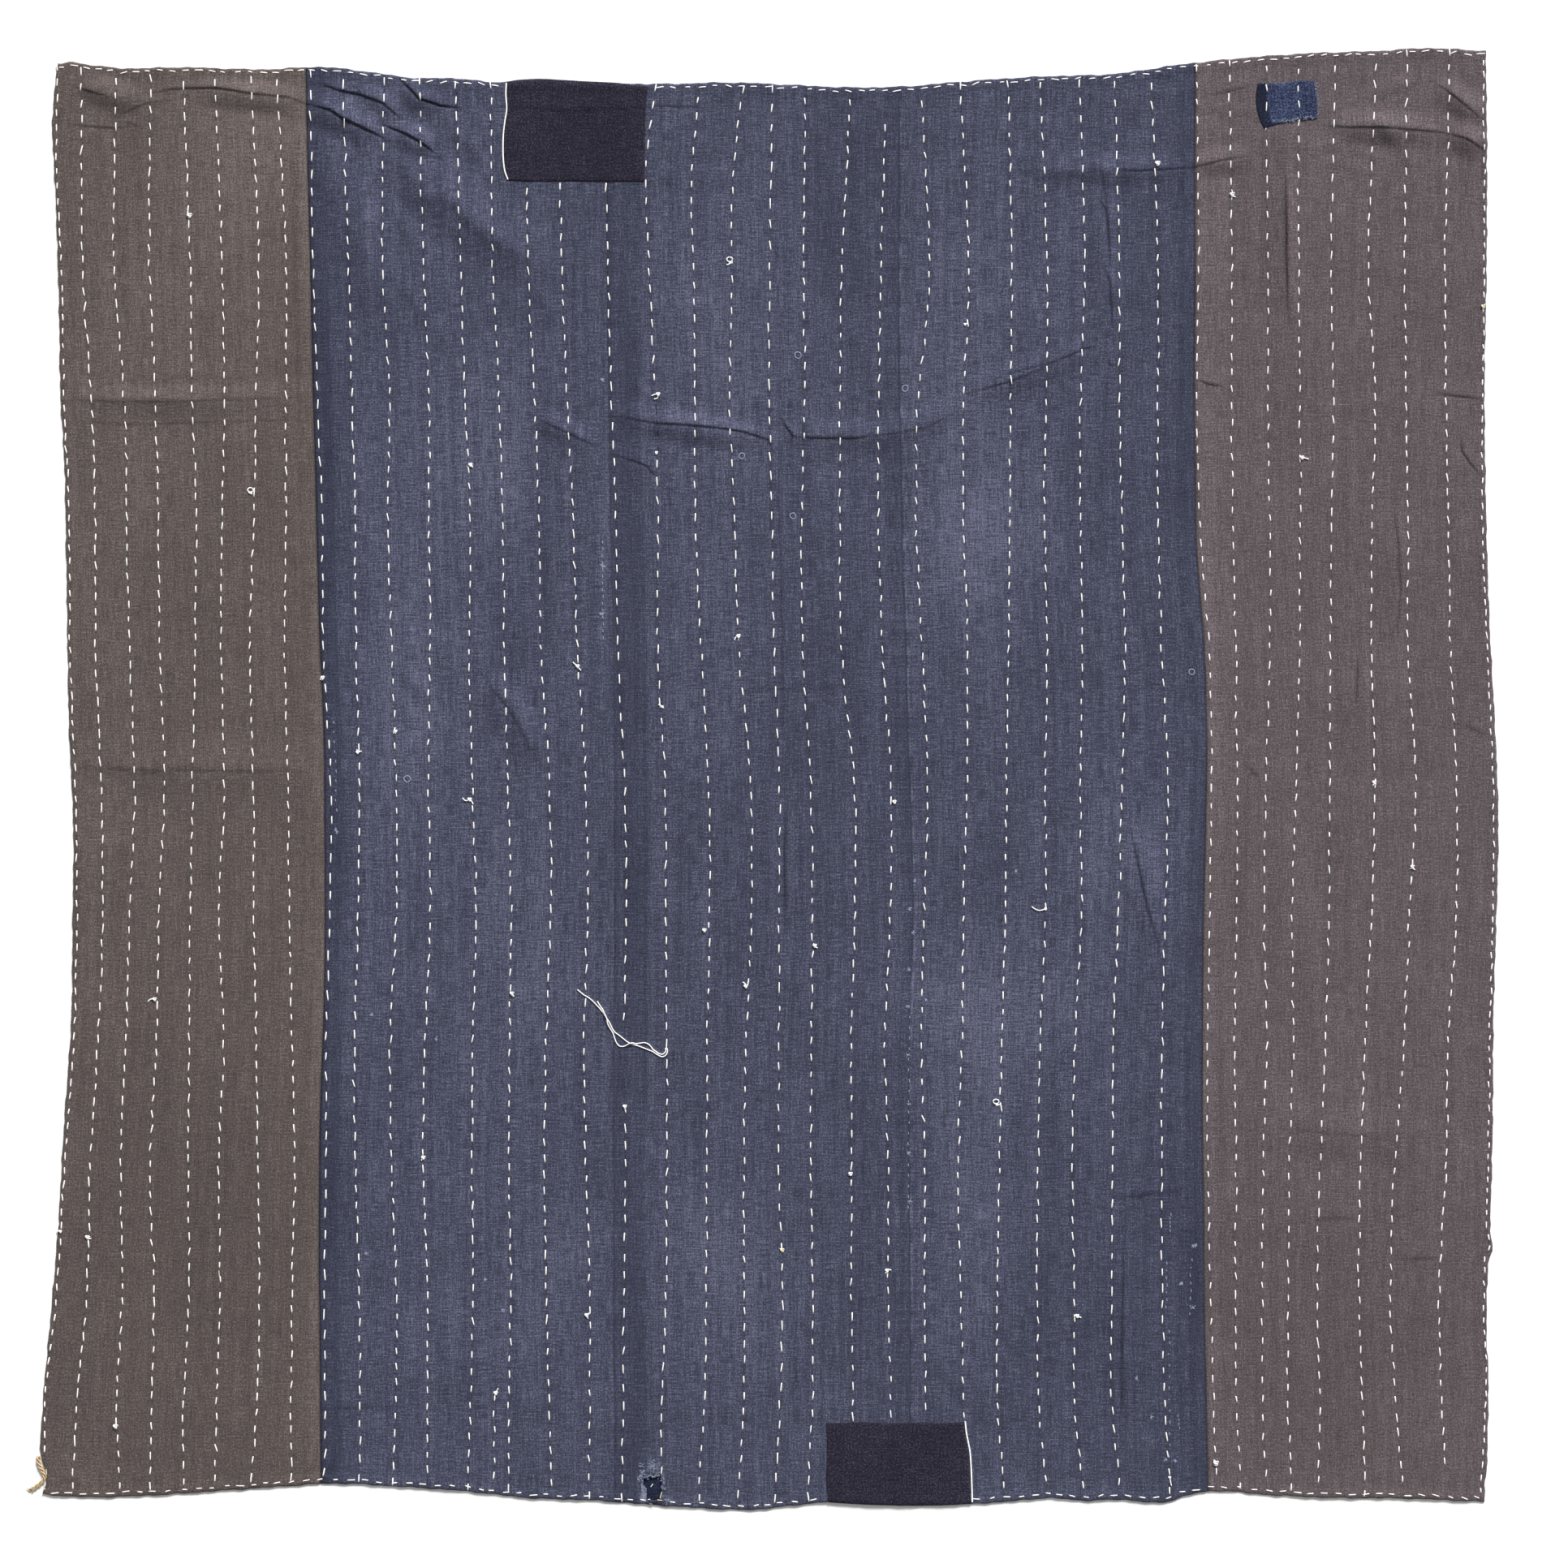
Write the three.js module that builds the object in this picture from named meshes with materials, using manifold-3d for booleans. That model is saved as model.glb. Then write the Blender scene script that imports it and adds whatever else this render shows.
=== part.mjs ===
// Sashiko quilted cloth: five loom widths of old cotton sewn edge to edge and laid flat.
// Millimetres, +Z up, +Y towards the top hem. The origin is on the floor under the middle.
import * as THREE from 'three';
import Module from 'manifold-3d';
import { mergeVertices } from 'three/addons/utils/BufferGeometryUtils.js';

const wasm = await Module();
wasm.setup();

// Driving dimensions
const clothThickness = 2.0; // two layers of cotton quilted together
const patchThickness = 1.0; // one layer with its turned edge
const mendThickness = 1.0; // cloth that shows in the torn place
const pieceGap = 0.3; // clear space between neighbouring pieces
const threadDiameter = 1.2; // thick cotton sewing thread
const yarnDiameter = 3.6; // soft yarn tied to the bottom left corner
const roundSides = 8; // sides of the threads and the yarn
const lowHem = -832; // nominal height of the bottom hem on the sheet
const highHem = 831; // nominal height of the top hem on the sheet

// The two long edges and the four seams: a row for each height on the sheet
const lengthwise = [
  { y: 831, left: -826.5, seam1: -539.5, seam2: -189.3, seam3: 150.2, seam4: 494.2, right: 832.7 },
  { y: 717, left: -830.2, seam1: -537.4, seam2: -189.3, seam3: 149.7, seam4: 493.8, right: 834.0 },
  { y: 576, left: -824.6, seam1: -533.8, seam2: -189.3, seam3: 149.6, seam4: 494.2, right: 833.5 },
  { y: 453, left: -824.6, seam1: -531.2, seam2: -187.9, seam3: 150.2, seam4: 493.2, right: 831.2 },
  { y: 362, left: -819.9, seam1: -528.5, seam2: -186.4, seam3: 152.1, seam4: 494.5, right: 831.9 },
  { y: 264, left: -818.0, seam1: -526.1, seam2: -184.4, seam3: 154.2, seam4: 496.1, right: 834.0 },
  { y: 167, left: -816.6, seam1: -523.6, seam2: -181.9, seam3: 157.6, seam4: 503.9, right: 837.3 },
  { y: 56, left: -814.5, seam1: -518.7, seam2: -180.8, seam3: 160.0, seam4: 507.7, right: 843.5 },
  { y: -57, left: -809.5, seam1: -517.4, seam2: -180.6, seam3: 164.4, seam4: 506.5, right: 847.2 },
  { y: -169, left: -810.4, seam1: -517.2, seam2: -180.8, seam3: 166.3, seam4: 503.8, right: 844.8 },
  { y: -271, left: -811.7, seam1: -518.7, seam2: -181.3, seam3: 162.2, seam4: 502.9, right: 841.6 },
  { y: -406, left: -820.8, seam1: -523.2, seam2: -181.9, seam3: 161.3, seam4: 502.7, right: 840.6 },
  { y: -521, left: -827.4, seam1: -524.1, seam2: -181.9, seam3: 162.2, seam4: 504.3, right: 839.0 },
  { y: -542, left: -829.0, seam1: -524.2, seam2: -181.9, seam3: 162.3, seam4: 504.2, right: 842.3 },
  { y: -633, left: -836.9, seam1: -523.4, seam2: -181.9, seam3: 162.8, seam4: 505.0, right: 830.6 },
  { y: -746, left: -846.3, seam1: -522.5, seam2: -180.4, seam3: 162.8, seam4: 507.7, right: 835.9 },
  { y: -786, left: -847.5, seam1: -522.3, seam2: -180.4, seam3: 162.8, seam4: 508.4, right: 834.0 },
  { y: -797, left: -845.2, seam1: -522.2, seam2: -180.4, seam3: 162.8, seam4: 508.6, right: 833.2 },
  { y: -806, left: -841.0, seam1: -522.2, seam2: -180.4, seam3: 162.8, seam4: 508.8, right: 832.4 },
  { y: -814, left: -840.6, seam1: -522.1, seam2: -180.4, seam3: 162.8, seam4: 508.9, right: 831.8 },
  { y: -832, left: -845.8, seam1: -522.1, seam2: -180.4, seam3: 162.8, seam4: 509.1, right: 831.0 },
];

// The top hem's height at each place across the sheet
const topHem = [
  { x: -825, y: 830.6 },
  { x: -796, y: 828.6 },
  { x: -760, y: 826.3 },
  { x: -688, y: 827.7 },
  { x: -586, y: 825.3 },
  { x: -518, y: 827.7 },
  { x: -465, y: 822.0 },
  { x: -412, y: 814.9 },
  { x: -367, y: 814.9 },
  { x: -321, y: 810.3 },
  { x: -273, y: 813.1 },
  { x: -232, y: 810.9 },
  { x: -171, y: 808.5 },
  { x: -123, y: 808.3 },
  { x: -42, y: 809.8 },
  { x: 30, y: 806.9 },
  { x: 86, y: 804.3 },
  { x: 153, y: 805.2 },
  { x: 234, y: 811.8 },
  { x: 312, y: 816.7 },
  { x: 402, y: 820.1 },
  { x: 477, y: 830.6 },
  { x: 538, y: 837.3 },
  { x: 624, y: 843.7 },
  { x: 709, y: 846.8 },
  { x: 760, y: 849.8 },
  { x: 833, y: 846.6 },
];

// The bottom hem's height at each place across the sheet
const bottomHem = [
  { x: -845, y: -831.9 },
  { x: -809, y: -834.7 },
  { x: -715, y: -832.8 },
  { x: -645, y: -828.1 },
  { x: -556, y: -822.0 },
  { x: -519, y: -819.6 },
  { x: -423, y: -823.4 },
  { x: -355, y: -828.1 },
  { x: -273, y: -836.6 },
  { x: -214, y: -838.5 },
  { x: -141, y: -843.8 },
  { x: -84, y: -847.6 },
  { x: -21, y: -849.8 },
  { x: 41, y: -843.2 },
  { x: 68, y: -840.7 },
  { x: 110, y: -843.2 },
  { x: 180, y: -844.6 },
  { x: 272, y: -840.7 },
  { x: 327, y: -836.2 },
  { x: 366, y: -839.2 },
  { x: 408, y: -838.0 },
  { x: 464, y: -840.1 },
  { x: 482, y: -833.8 },
  { x: 518, y: -828.1 },
  { x: 570, y: -831.9 },
  { x: 644, y: -835.6 },
  { x: 735, y: -836.6 },
  { x: 828, y: -840.4 },
];

// The main wrinkles, each a soft ridge from start over middle to end; reach is its half width
const wrinkles = [
  { start: [-806, 812], middle: [-763, 795], end: [-724, 785], height: 4.0, reach: 22 },
  { start: [-678, 802], middle: [-594, 793], end: [-540, 787], height: 3.5, reach: 22 },
  { start: [-547, 788], middle: [-495, 768], end: [-444, 744], height: 5.0, reach: 26 },
  { start: [-477, 797], middle: [-450, 786], end: [-429, 767], height: 3.0, reach: 20 },
  { start: [-442, 756], middle: [-406, 741], end: [-390, 730], height: 4.0, reach: 22 },
  { start: [-430, 813], middle: [-409, 789], end: [-382, 782], height: 3.5, reach: 20 },
  { start: [-452, 741], middle: [-367, 670], end: [-272, 595], height: 4.5, reach: 45 },
  { start: [-518, 765], middle: [-480, 642], end: [-442, 510], height: 3.5, reach: 40 },
  { start: [300, 711], middle: [405, 708], end: [496, 711], height: 2.5, reach: 22 },
  { start: [490, 711], middle: [524, 718], end: [563, 725], height: 2.5, reach: 20 },
  { start: [652, 758], middle: [707, 758], end: [793, 750], height: 4.0, reach: 24 },
  { start: [786, 751], middle: [813, 742], end: [832, 729], height: 4.0, reach: 24 },
  { start: [775, 809], middle: [802, 788], end: [830, 765], height: 3.5, reach: 22 },
  { start: [599, 705], middle: [600, 610], end: [603, 527], height: 2.0, reach: 32 },
  { start: [386, 671], middle: [395, 581], end: [396, 478], height: 2.0, reach: 30 },
  { start: [365, 500], middle: [299, 471], end: [228, 448], height: 2.5, reach: 24 },
  { start: [-186, 425], middle: [-87, 407], end: [-2, 393], height: 3.5, reach: 22 },
  { start: [34, 398], middle: [132, 399], end: [234, 435], height: 2.5, reach: 22 },
  { start: [-273, 420], middle: [-247, 408], end: [-201, 387], height: 2.5, reach: 20 },
  { start: [-815, 441], middle: [-678, 439], end: [-534, 443], height: 2.0, reach: 24 },
  { start: [-811, 15], middle: [-669, 9], end: [-523, 9], height: 2.0, reach: 40 },
  { start: [728, 318], middle: [732, 245], end: [728, 167], height: 2.0, reach: 34 },
  { start: [585, -406], middle: [675, -414], end: [765, -418], height: 2.0, reach: 40 },
  { start: [416, -46], middle: [431, -119], end: [452, -193], height: 2.0, reach: 36 },
  { start: [413, -515], middle: [409, -626], end: [409, -747], height: 2.0, reach: 32 },
  { start: [-331, 116], middle: [-301, 73], end: [-273, 25], height: 2.5, reach: 34 },
];

// Rows of faces up the sheet, closer together where it is wrinkled
const rowBands = [
  { from: lowHem, to: -786, rows: 5 },
  { from: -786, to: 350, rows: 23 },
  { from: 350, to: 480, rows: 9 },
  { from: 480, to: 690, rows: 7 },
  { from: 690, to: highHem, rows: 10 },
];

// The five loom widths, named from left to right
const panels = [
  { name: 'brown_panel_left', left: 'left', right: 'seam1', columns: 6, colour: 0x655d5a },
  { name: 'indigo_panel_left', left: 'seam1', right: 'seam2', columns: 11, colour: 0x4a5066 },
  { name: 'indigo_panel_middle', left: 'seam2', right: 'seam3', columns: 8, colour: 0x4d5368 },
  { name: 'indigo_panel_right', left: 'seam3', right: 'seam4', columns: 8, colour: 0x50576c },
  { name: 'brown_panel_right', left: 'seam4', right: 'right', columns: 8, colour: 0x655c60 },
];

// Patches by their corners: top left, top right, bottom left, bottom right
const patches = [
  {
    name: 'dark_patch_top',
    corners: [[-303.5, 810.8], [-142.4, 806.8], [-305.0, 696.0], [-145.5, 694.8]],
    colour: 0x2b2a3a,
  },
  {
    name: 'dark_patch_bottom',
    corners: [[66.0, -748.2], [227.0, -748.0], [68.1, -839.9], [234.9, -840.6]],
    colour: 0x2b2a3a,
  },
  {
    name: 'blue_patch',
    corners: [[566.5, 808.5], [632.5, 811.5], [575.0, 752.5], [636.5, 766.8]],
    colour: 0x344566,
  },
];

// Outline of the torn place by the bottom hem, anticlockwise
const tornPlace = [
  [-148.1, -814.4],
  [-146.8, -820.3],
  [-143.5, -825.0],
  [-142.2, -834.2],
  [-138.2, -838.2],
  [-127.6, -836.9],
  [-127.0, -831.6],
  [-125.0, -826.9],
  [-125.6, -819.0],
  [-127.0, -812.4],
  [-131.6, -813.7],
  [-140.8, -813.0],
];
const mendShare = 0.94; // the cloth in the torn place, next to the hole's own size

// Routes of the two loose white strands, from the cloth to their ends; lift is above the cloth
const threadRest = 0.9; // height of a strand's centre over the cloth it lies on
const longStrand = [
  { x: -119.8, y: -312.7, lift: 0 },
  { x: -119.0, y: -316.0, lift: 0 },
  { x: -119.8, y: -319.3, lift: 0 },
  { x: -122.2, y: -322.1, lift: 0 },
  { x: -125.6, y: -322.9, lift: 0 },
  { x: -129.3, y: -321.4, lift: 0 },
  { x: -133.1, y: -318.9, lift: 0 },
  { x: -136.9, y: -316.6, lift: 0 },
  { x: -142.1, y: -314.5, lift: 0 },
  { x: -147.7, y: -312.3, lift: 0 },
  { x: -153.9, y: -310.0, lift: 0 },
  { x: -159.5, y: -308.5, lift: 0 },
  { x: -164.7, y: -306.2, lift: 0 },
  { x: -169.9, y: -302.3, lift: 0 },
  { x: -175.1, y: -298.1, lift: 0 },
  { x: -180.2, y: -294.3, lift: 0 },
  { x: -183.2, y: -289.8, lift: 0 },
  { x: -186.6, y: -283.0, lift: 0 },
  { x: -191.2, y: -275.8, lift: 0 },
  { x: -196.1, y: -268.7, lift: 0 },
  { x: -203.4, y: -260.7, lift: 0 },
  { x: -210.0, y: -254.7, lift: 0 },
  { x: -216.5, y: -250.9, lift: 0 },
  { x: -223.6, y: -244.9, lift: 0 },
];
const loopedStrand = [
  { x: -121.5, y: -313.0, lift: 0 },
  { x: -121.0, y: -316.1, lift: 0 },
  { x: -122.4, y: -318.4, lift: 0 },
  { x: -125.1, y: -320.0, lift: 0 },
  { x: -128.9, y: -319.2, lift: 0 },
  { x: -132.2, y: -316.8, lift: 0 },
  { x: -135.8, y: -314.4, lift: 0 },
  { x: -137.9, y: -311.3, lift: 0 },
  { x: -141.5, y: -308.1, lift: 0 },
  { x: -146.0, y: -306.6, lift: 0 },
  { x: -151.1, y: -307.2, lift: 0 },
  { x: -155.3, y: -307.7, lift: 0.3 },
  { x: -159.0, y: -306.9, lift: 1.0 },
  { x: -162.3, y: -307.2, lift: 1.8 },
  { x: -165.1, y: -308.5, lift: 1.0 },
  { x: -167.9, y: -310.2, lift: 0.2 },
  { x: -171.5, y: -311.1, lift: 0 },
  { x: -175.3, y: -310.2, lift: 0 },
  { x: -178.3, y: -306.6, lift: 0 },
  { x: -180.6, y: -301.1, lift: 0 },
  { x: -182.1, y: -296.0, lift: 0 },
  { x: -185.1, y: -290.9, lift: 0.2 },
  { x: -188.5, y: -284.4, lift: 1.1 },
  { x: -189.4, y: -278.6, lift: 1.8 },
  { x: -192.4, y: -272.2, lift: 1.3 },
  { x: -194.4, y: -267.4, lift: 0.3 },
  { x: -196.4, y: -265.1, lift: 0 },
  { x: -200.7, y: -258.1, lift: 0 },
];

// Route of the yarn tail on the floor beside the bottom left corner
const yarnRest = 1.85; // height of the yarn's centre over the floor
const yarnTail = [
  { x: -850.0, y: -787.3, lift: 0 },
  { x: -850.3, y: -790.5, lift: 0 },
  { x: -850.1, y: -793.6, lift: 0 },
  { x: -849.3, y: -796.9, lift: 0 },
  { x: -848.1, y: -800.2, lift: 0 },
  { x: -846.3, y: -803.2, lift: 0 },
  { x: -844.7, y: -805.9, lift: 0 },
  { x: -843.6, y: -808.7, lift: 0 },
  { x: -843.2, y: -811.6, lift: 0 },
  { x: -844.1, y: -814.6, lift: 0 },
  { x: -846.4, y: -817.4, lift: 0 },
  { x: -849.3, y: -820.1, lift: 0 },
  { x: -852.4, y: -822.3, lift: 0 },
  { x: -855.4, y: -824.4, lift: 0 },
  { x: -857.8, y: -826.5, lift: 0 },
];

// Reads a table between its rows, along straight lines
function readTable(table, key, place, value) {
  const rising = table[0][key] < table[table.length - 1][key];
  const rows = rising ? table : [...table].reverse();
  let upper = rows.findIndex((row) => row[key] > place);
  if (upper === -1) upper = rows.length - 1;
  upper = Math.max(upper, 1);
  const low = rows[upper - 1];
  const high = rows[upper];
  const share = THREE.MathUtils.clamp((place - low[key]) / (high[key] - low[key]), 0, 1);
  return THREE.MathUtils.lerp(low[value], high[value], share);
}

// Distance from a point to one stretch of a ridge, and how far along the stretch it is
function stretchTo(x, y, from, to) {
  const alongX = to[0] - from[0];
  const alongY = to[1] - from[1];
  const length = Math.hypot(alongX, alongY);
  const reached = (x - from[0]) * alongX + (y - from[1]) * alongY;
  const share = THREE.MathUtils.clamp(reached / length ** 2, 0, 1);
  const distance = Math.hypot(x - from[0] - share * alongX, y - from[1] - share * alongY);
  return { distance, share };
}

// Height of the wrinkles over the floor; each fades out sideways and towards its ends
function wrinkleHeight(x, y) {
  let height = 0;
  for (const ridge of wrinkles) {
    const first = stretchTo(x, y, ridge.start, ridge.middle);
    const second = stretchTo(x, y, ridge.middle, ridge.end);
    const nearFirst = first.distance < second.distance;
    const distance = nearFirst ? first.distance : second.distance;
    if (distance >= ridge.reach) continue;
    const along = nearFirst ? first.share / 2 : 0.5 + second.share / 2;
    const fadeAlong = Math.sin(Math.PI * along);
    height += ridge.height * fadeAlong * (1 - (distance / ridge.reach) ** 2) ** 2;
  }
  return height;
}

// Nominal height on the sheet of a row, from its share of all rows
function rowHeight(share) {
  const total = rowBands.reduce((sum, band) => sum + band.rows, 0);
  let row = share * total;
  for (const band of rowBands) {
    if (row <= band.rows) return THREE.MathUtils.lerp(band.from, band.to, row / band.rows);
    row -= band.rows;
  }
  return highHem;
}

// Moves a unit box's points: place gives the point on the sheet, base the height of its underside
function layBox(columns, rows, place, base, thickness) {
  const geometry = new THREE.BoxGeometry(1, 1, 1, columns, rows, 1);
  const point = geometry.attributes.position;
  for (let i = 0; i < point.count; i += 1) {
    const [x, y] = place(point.getX(i) + 0.5, point.getY(i) + 0.5);
    const height = wrinkleHeight(x, y) + base;
    point.setXYZ(i, x, y, point.getZ(i) > 0 ? height + thickness : height);
  }
  geometry.computeVertexNormals();
  return geometry;
}

// One loom width, from seam to seam and hem to hem
function panelGeometry(panel) {
  const rows = rowBands.reduce((sum, band) => sum + band.rows, 0);
  const place = (across, up) => {
    const nominal = rowHeight(up);
    const left = readTable(lengthwise, 'y', nominal, panel.left) + pieceGap / 2;
    const right = readTable(lengthwise, 'y', nominal, panel.right) - pieceGap / 2;
    const x = THREE.MathUtils.lerp(left, right, across);
    const share = (nominal - lowHem) / (highHem - lowHem);
    const low = readTable(bottomHem, 'x', x, 'y');
    const high = readTable(topHem, 'x', x, 'y');
    return [x, THREE.MathUtils.lerp(low, high, share)];
  };
  return layBox(panel.columns, rows, place, 0, clothThickness);
}

// A patch lying on the cloth, with faces short enough to follow it
function patchGeometry(patch) {
  const [topLeft, topRight, lowLeft, lowRight] = patch.corners;
  const place = (across, up) => [0, 1].map((axis) => {
    const high = THREE.MathUtils.lerp(topLeft[axis], topRight[axis], across);
    const low = THREE.MathUtils.lerp(lowLeft[axis], lowRight[axis], across);
    return THREE.MathUtils.lerp(low, high, up);
  });
  return layBox(6, 4, place, clothThickness + pieceGap, patchThickness);
}

// An upright slab of the torn place's outline, shrunk about its middle by share
function tornSlab(share, low, high) {
  const total = (axis) => tornPlace.reduce((sum, spot) => sum + spot[axis], 0);
  const middle = [total(0) / tornPlace.length, total(1) / tornPlace.length];
  const outline = tornPlace.map((spot) => new THREE.Vector2(
    middle[0] + (spot[0] - middle[0]) * share,
    middle[1] + (spot[1] - middle[1]) * share,
  ));
  const options = { depth: high - low, bevelEnabled: false };
  const slab = new THREE.ExtrudeGeometry(new THREE.Shape(outline), options);
  return slab.translate(0, 0, low);
}

// A closed mesh as a solid that can be cut
function toSolid(geometry) {
  const bare = geometry.clone();
  bare.deleteAttribute('normal');
  bare.deleteAttribute('uv');
  const merged = mergeVertices(bare);
  return new wasm.Manifold(new wasm.Mesh({
    numProp: 3,
    vertProperties: new Float32Array(merged.attributes.position.array),
    triVerts: new Uint32Array(merged.index.array),
  }));
}

// A solid back as a mesh
function toGeometry(solid) {
  const mesh = solid.getMesh();
  const geometry = new THREE.BufferGeometry();
  geometry.setAttribute('position', new THREE.BufferAttribute(new Float32Array(mesh.vertProperties), 3));
  geometry.setIndex(new THREE.BufferAttribute(new Uint32Array(mesh.triVerts), 1));
  geometry.computeVertexNormals();
  return geometry;
}

// A round strand along a route
function strandGeometry(route, rest, diameter, steps) {
  const points = route.map((spot) => new THREE.Vector3(spot.x, spot.y, rest + spot.lift));
  const round = [];
  for (let i = 0; i < roundSides; i += 1) {
    const turn = (i / roundSides) * Math.PI * 2;
    round.push(new THREE.Vector2(Math.cos(turn), Math.sin(turn)).multiplyScalar(diameter / 2));
  }
  return new THREE.ExtrudeGeometry(new THREE.Shape(round), {
    steps,
    bevelEnabled: false,
    extrudePath: new THREE.CatmullRomCurve3(points),
  });
}

function addPiece(group, name, geometry, colour, roughness) {
  const material = new THREE.MeshStandardMaterial({ color: colour, roughness, metalness: 0 });
  const mesh = new THREE.Mesh(geometry, material);
  mesh.name = name;
  group.add(mesh);
}

const cloth = new THREE.Group();
for (const panel of panels) {
  let geometry = panelGeometry(panel);
  if (panel.name === 'indigo_panel_middle') {
    const hole = toSolid(tornSlab(1, -1, clothThickness + 1));
    geometry = toGeometry(toSolid(geometry).subtract(hole));
  }
  addPiece(cloth, panel.name, geometry, panel.colour, 0.95);
}
for (const patch of patches) {
  addPiece(cloth, patch.name, patchGeometry(patch), patch.colour, 0.95);
}
addPiece(cloth, 'mend_cloth', tornSlab(mendShare, 0, mendThickness), 0x1f2439, 0.95);
const onCloth = clothThickness + threadRest;
const longThread = strandGeometry(longStrand, onCloth, threadDiameter, 56);
const loopedThread = strandGeometry(loopedStrand, onCloth, threadDiameter, 64);
const cornerYarn = strandGeometry(yarnTail, yarnRest, yarnDiameter, 16);
addPiece(cloth, 'loose_thread_long', longThread, 0xf3ebdd, 0.8);
addPiece(cloth, 'loose_thread_looped', loopedThread, 0xf3ebdd, 0.8);
addPiece(cloth, 'corner_yarn', cornerYarn, 0xcdb08a, 0.9);

export default cloth;
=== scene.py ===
import math

import bmesh
import bpy
import numpy as np
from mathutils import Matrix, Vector


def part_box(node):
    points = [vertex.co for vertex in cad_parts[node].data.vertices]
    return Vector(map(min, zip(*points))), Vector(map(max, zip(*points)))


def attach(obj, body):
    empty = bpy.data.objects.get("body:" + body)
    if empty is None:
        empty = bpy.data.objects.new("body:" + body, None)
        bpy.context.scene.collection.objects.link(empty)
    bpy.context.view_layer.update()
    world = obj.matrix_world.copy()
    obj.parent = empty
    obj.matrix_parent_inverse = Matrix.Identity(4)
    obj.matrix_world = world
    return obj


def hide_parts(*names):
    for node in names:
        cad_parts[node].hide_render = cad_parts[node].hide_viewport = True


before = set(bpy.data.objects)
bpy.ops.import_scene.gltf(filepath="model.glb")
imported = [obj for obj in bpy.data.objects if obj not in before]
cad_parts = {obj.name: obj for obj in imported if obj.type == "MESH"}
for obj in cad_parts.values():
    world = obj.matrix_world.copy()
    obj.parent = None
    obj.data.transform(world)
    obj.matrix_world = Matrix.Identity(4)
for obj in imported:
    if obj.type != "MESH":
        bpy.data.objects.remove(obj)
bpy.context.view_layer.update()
print("frame loaded")

mm = 0.001
photo = {"pixel": 0.944 * mm, "middleX": 948.5, "middleY": 959.8, "width": 1932}  # photo pixels to metres
chance = np.random.RandomState(1907)  # every random draw comes from here


def fromPhoto(px, py):
    x = (np.asarray(px, float) - photo["middleX"]) * photo["pixel"]
    return x, (photo["middleY"] - np.asarray(py, float)) * photo["pixel"]


# Camera, straight over the middle of the photograph's frame
camera = {"lens": 85, "sensor": 36}
cameraData = bpy.data.cameras.new("camera")
cameraData.lens = camera["lens"]
cameraData.sensor_width = camera["sensor"]
cameraObject = bpy.data.objects.new("camera", cameraData)
bpy.context.scene.collection.objects.link(cameraObject)
viewWidth = photo["width"] * photo["pixel"]
viewX, viewY = fromPhoto(photo["width"] / 2, photo["width"] / 2)
cameraObject.location = (viewX, viewY, viewWidth * camera["lens"] / camera["sensor"])
bpy.context.scene.camera = cameraObject


# Reads a table smoothly between its rows
def readSmooth(places, values, at):
    order = np.argsort(places)
    x, y = np.asarray(places, float)[order], np.asarray(values, float)[order]
    slope = np.gradient(y, x)
    i = np.clip(np.searchsorted(x, at) - 1, 0, len(x) - 2)
    step = x[i + 1] - x[i]
    t = np.clip((at - x[i]) / step, 0, 1)
    low = (1 + 2 * t) * (1 - t) ** 2 * y[i] + t * (1 - t) ** 2 * step * slope[i]
    high = t * t * (3 - 2 * t) * y[i + 1] + t * t * (t - 1) * step * slope[i + 1]
    return low + high


# Runs a smooth line through points, with a number of steps in each span
def smoothPath(points, steps):
    points = np.asarray(points, float)
    places = np.arange(len(points))
    at = np.linspace(0, len(points) - 1, (len(points) - 1) * steps + 1)
    return np.stack([readSmooth(places, points[:, axis], at) for axis in range(points.shape[1])], 1)


# The light comes from the top, a little from the right, as the threads' shadows show
lightFrom = (0.35, 0.94)

# The cut of the cloth in millimetres: both long edges and the seams at each height, and the two hems
edges = {
    "height": [831, 717, 576, 453, 362, 264, 167, 56, -57, -169, -271, -406,
               -521, -542, -633, -746, -786, -797, -806, -814, -832],
    "left": [-826.5, -830.2, -824.6, -824.6, -819.9, -818.0, -816.6, -814.5, -809.5, -810.4, -811.7, -820.8,
             -827.4, -829.0, -836.9, -846.3, -847.5, -845.2, -841.0, -840.6, -845.8],
    "seam1": [-539.5, -537.4, -533.8, -531.2, -528.5, -526.1, -523.6, -518.7, -517.4, -517.2, -518.7, -523.2,
              -524.1, -524.2, -523.4, -522.5, -522.3, -522.2, -522.2, -522.1, -522.1],
    "seam2": [-189.3, -189.3, -189.3, -187.9, -186.4, -184.4, -181.9, -180.8, -180.6, -180.8, -181.3, -181.9,
              -181.9, -181.9, -181.9, -180.4, -180.4, -180.4, -180.4, -180.4, -180.4],
    "seam3": [150.2, 149.7, 149.6, 150.2, 152.1, 154.2, 157.6, 160.0, 164.4, 166.3, 162.2, 161.3,
              162.2, 162.3, 162.8, 162.8, 162.8, 162.8, 162.8, 162.8, 162.8],
    "seam4": [494.2, 493.8, 494.2, 493.2, 494.5, 496.1, 503.9, 507.7, 506.5, 503.8, 502.9, 502.7,
              504.3, 504.2, 505.0, 507.7, 508.4, 508.6, 508.8, 508.9, 509.1],
    "right": [832.7, 834.0, 833.5, 831.2, 831.9, 834.0, 837.3, 843.5, 847.2, 844.8, 841.6, 840.6,
              837.2, 836.0, 833.3, 834.9, 834.0, 833.2, 832.4, 831.8, 831.0],
    "lowHem": -832, "highHem": 831,
}
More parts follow.
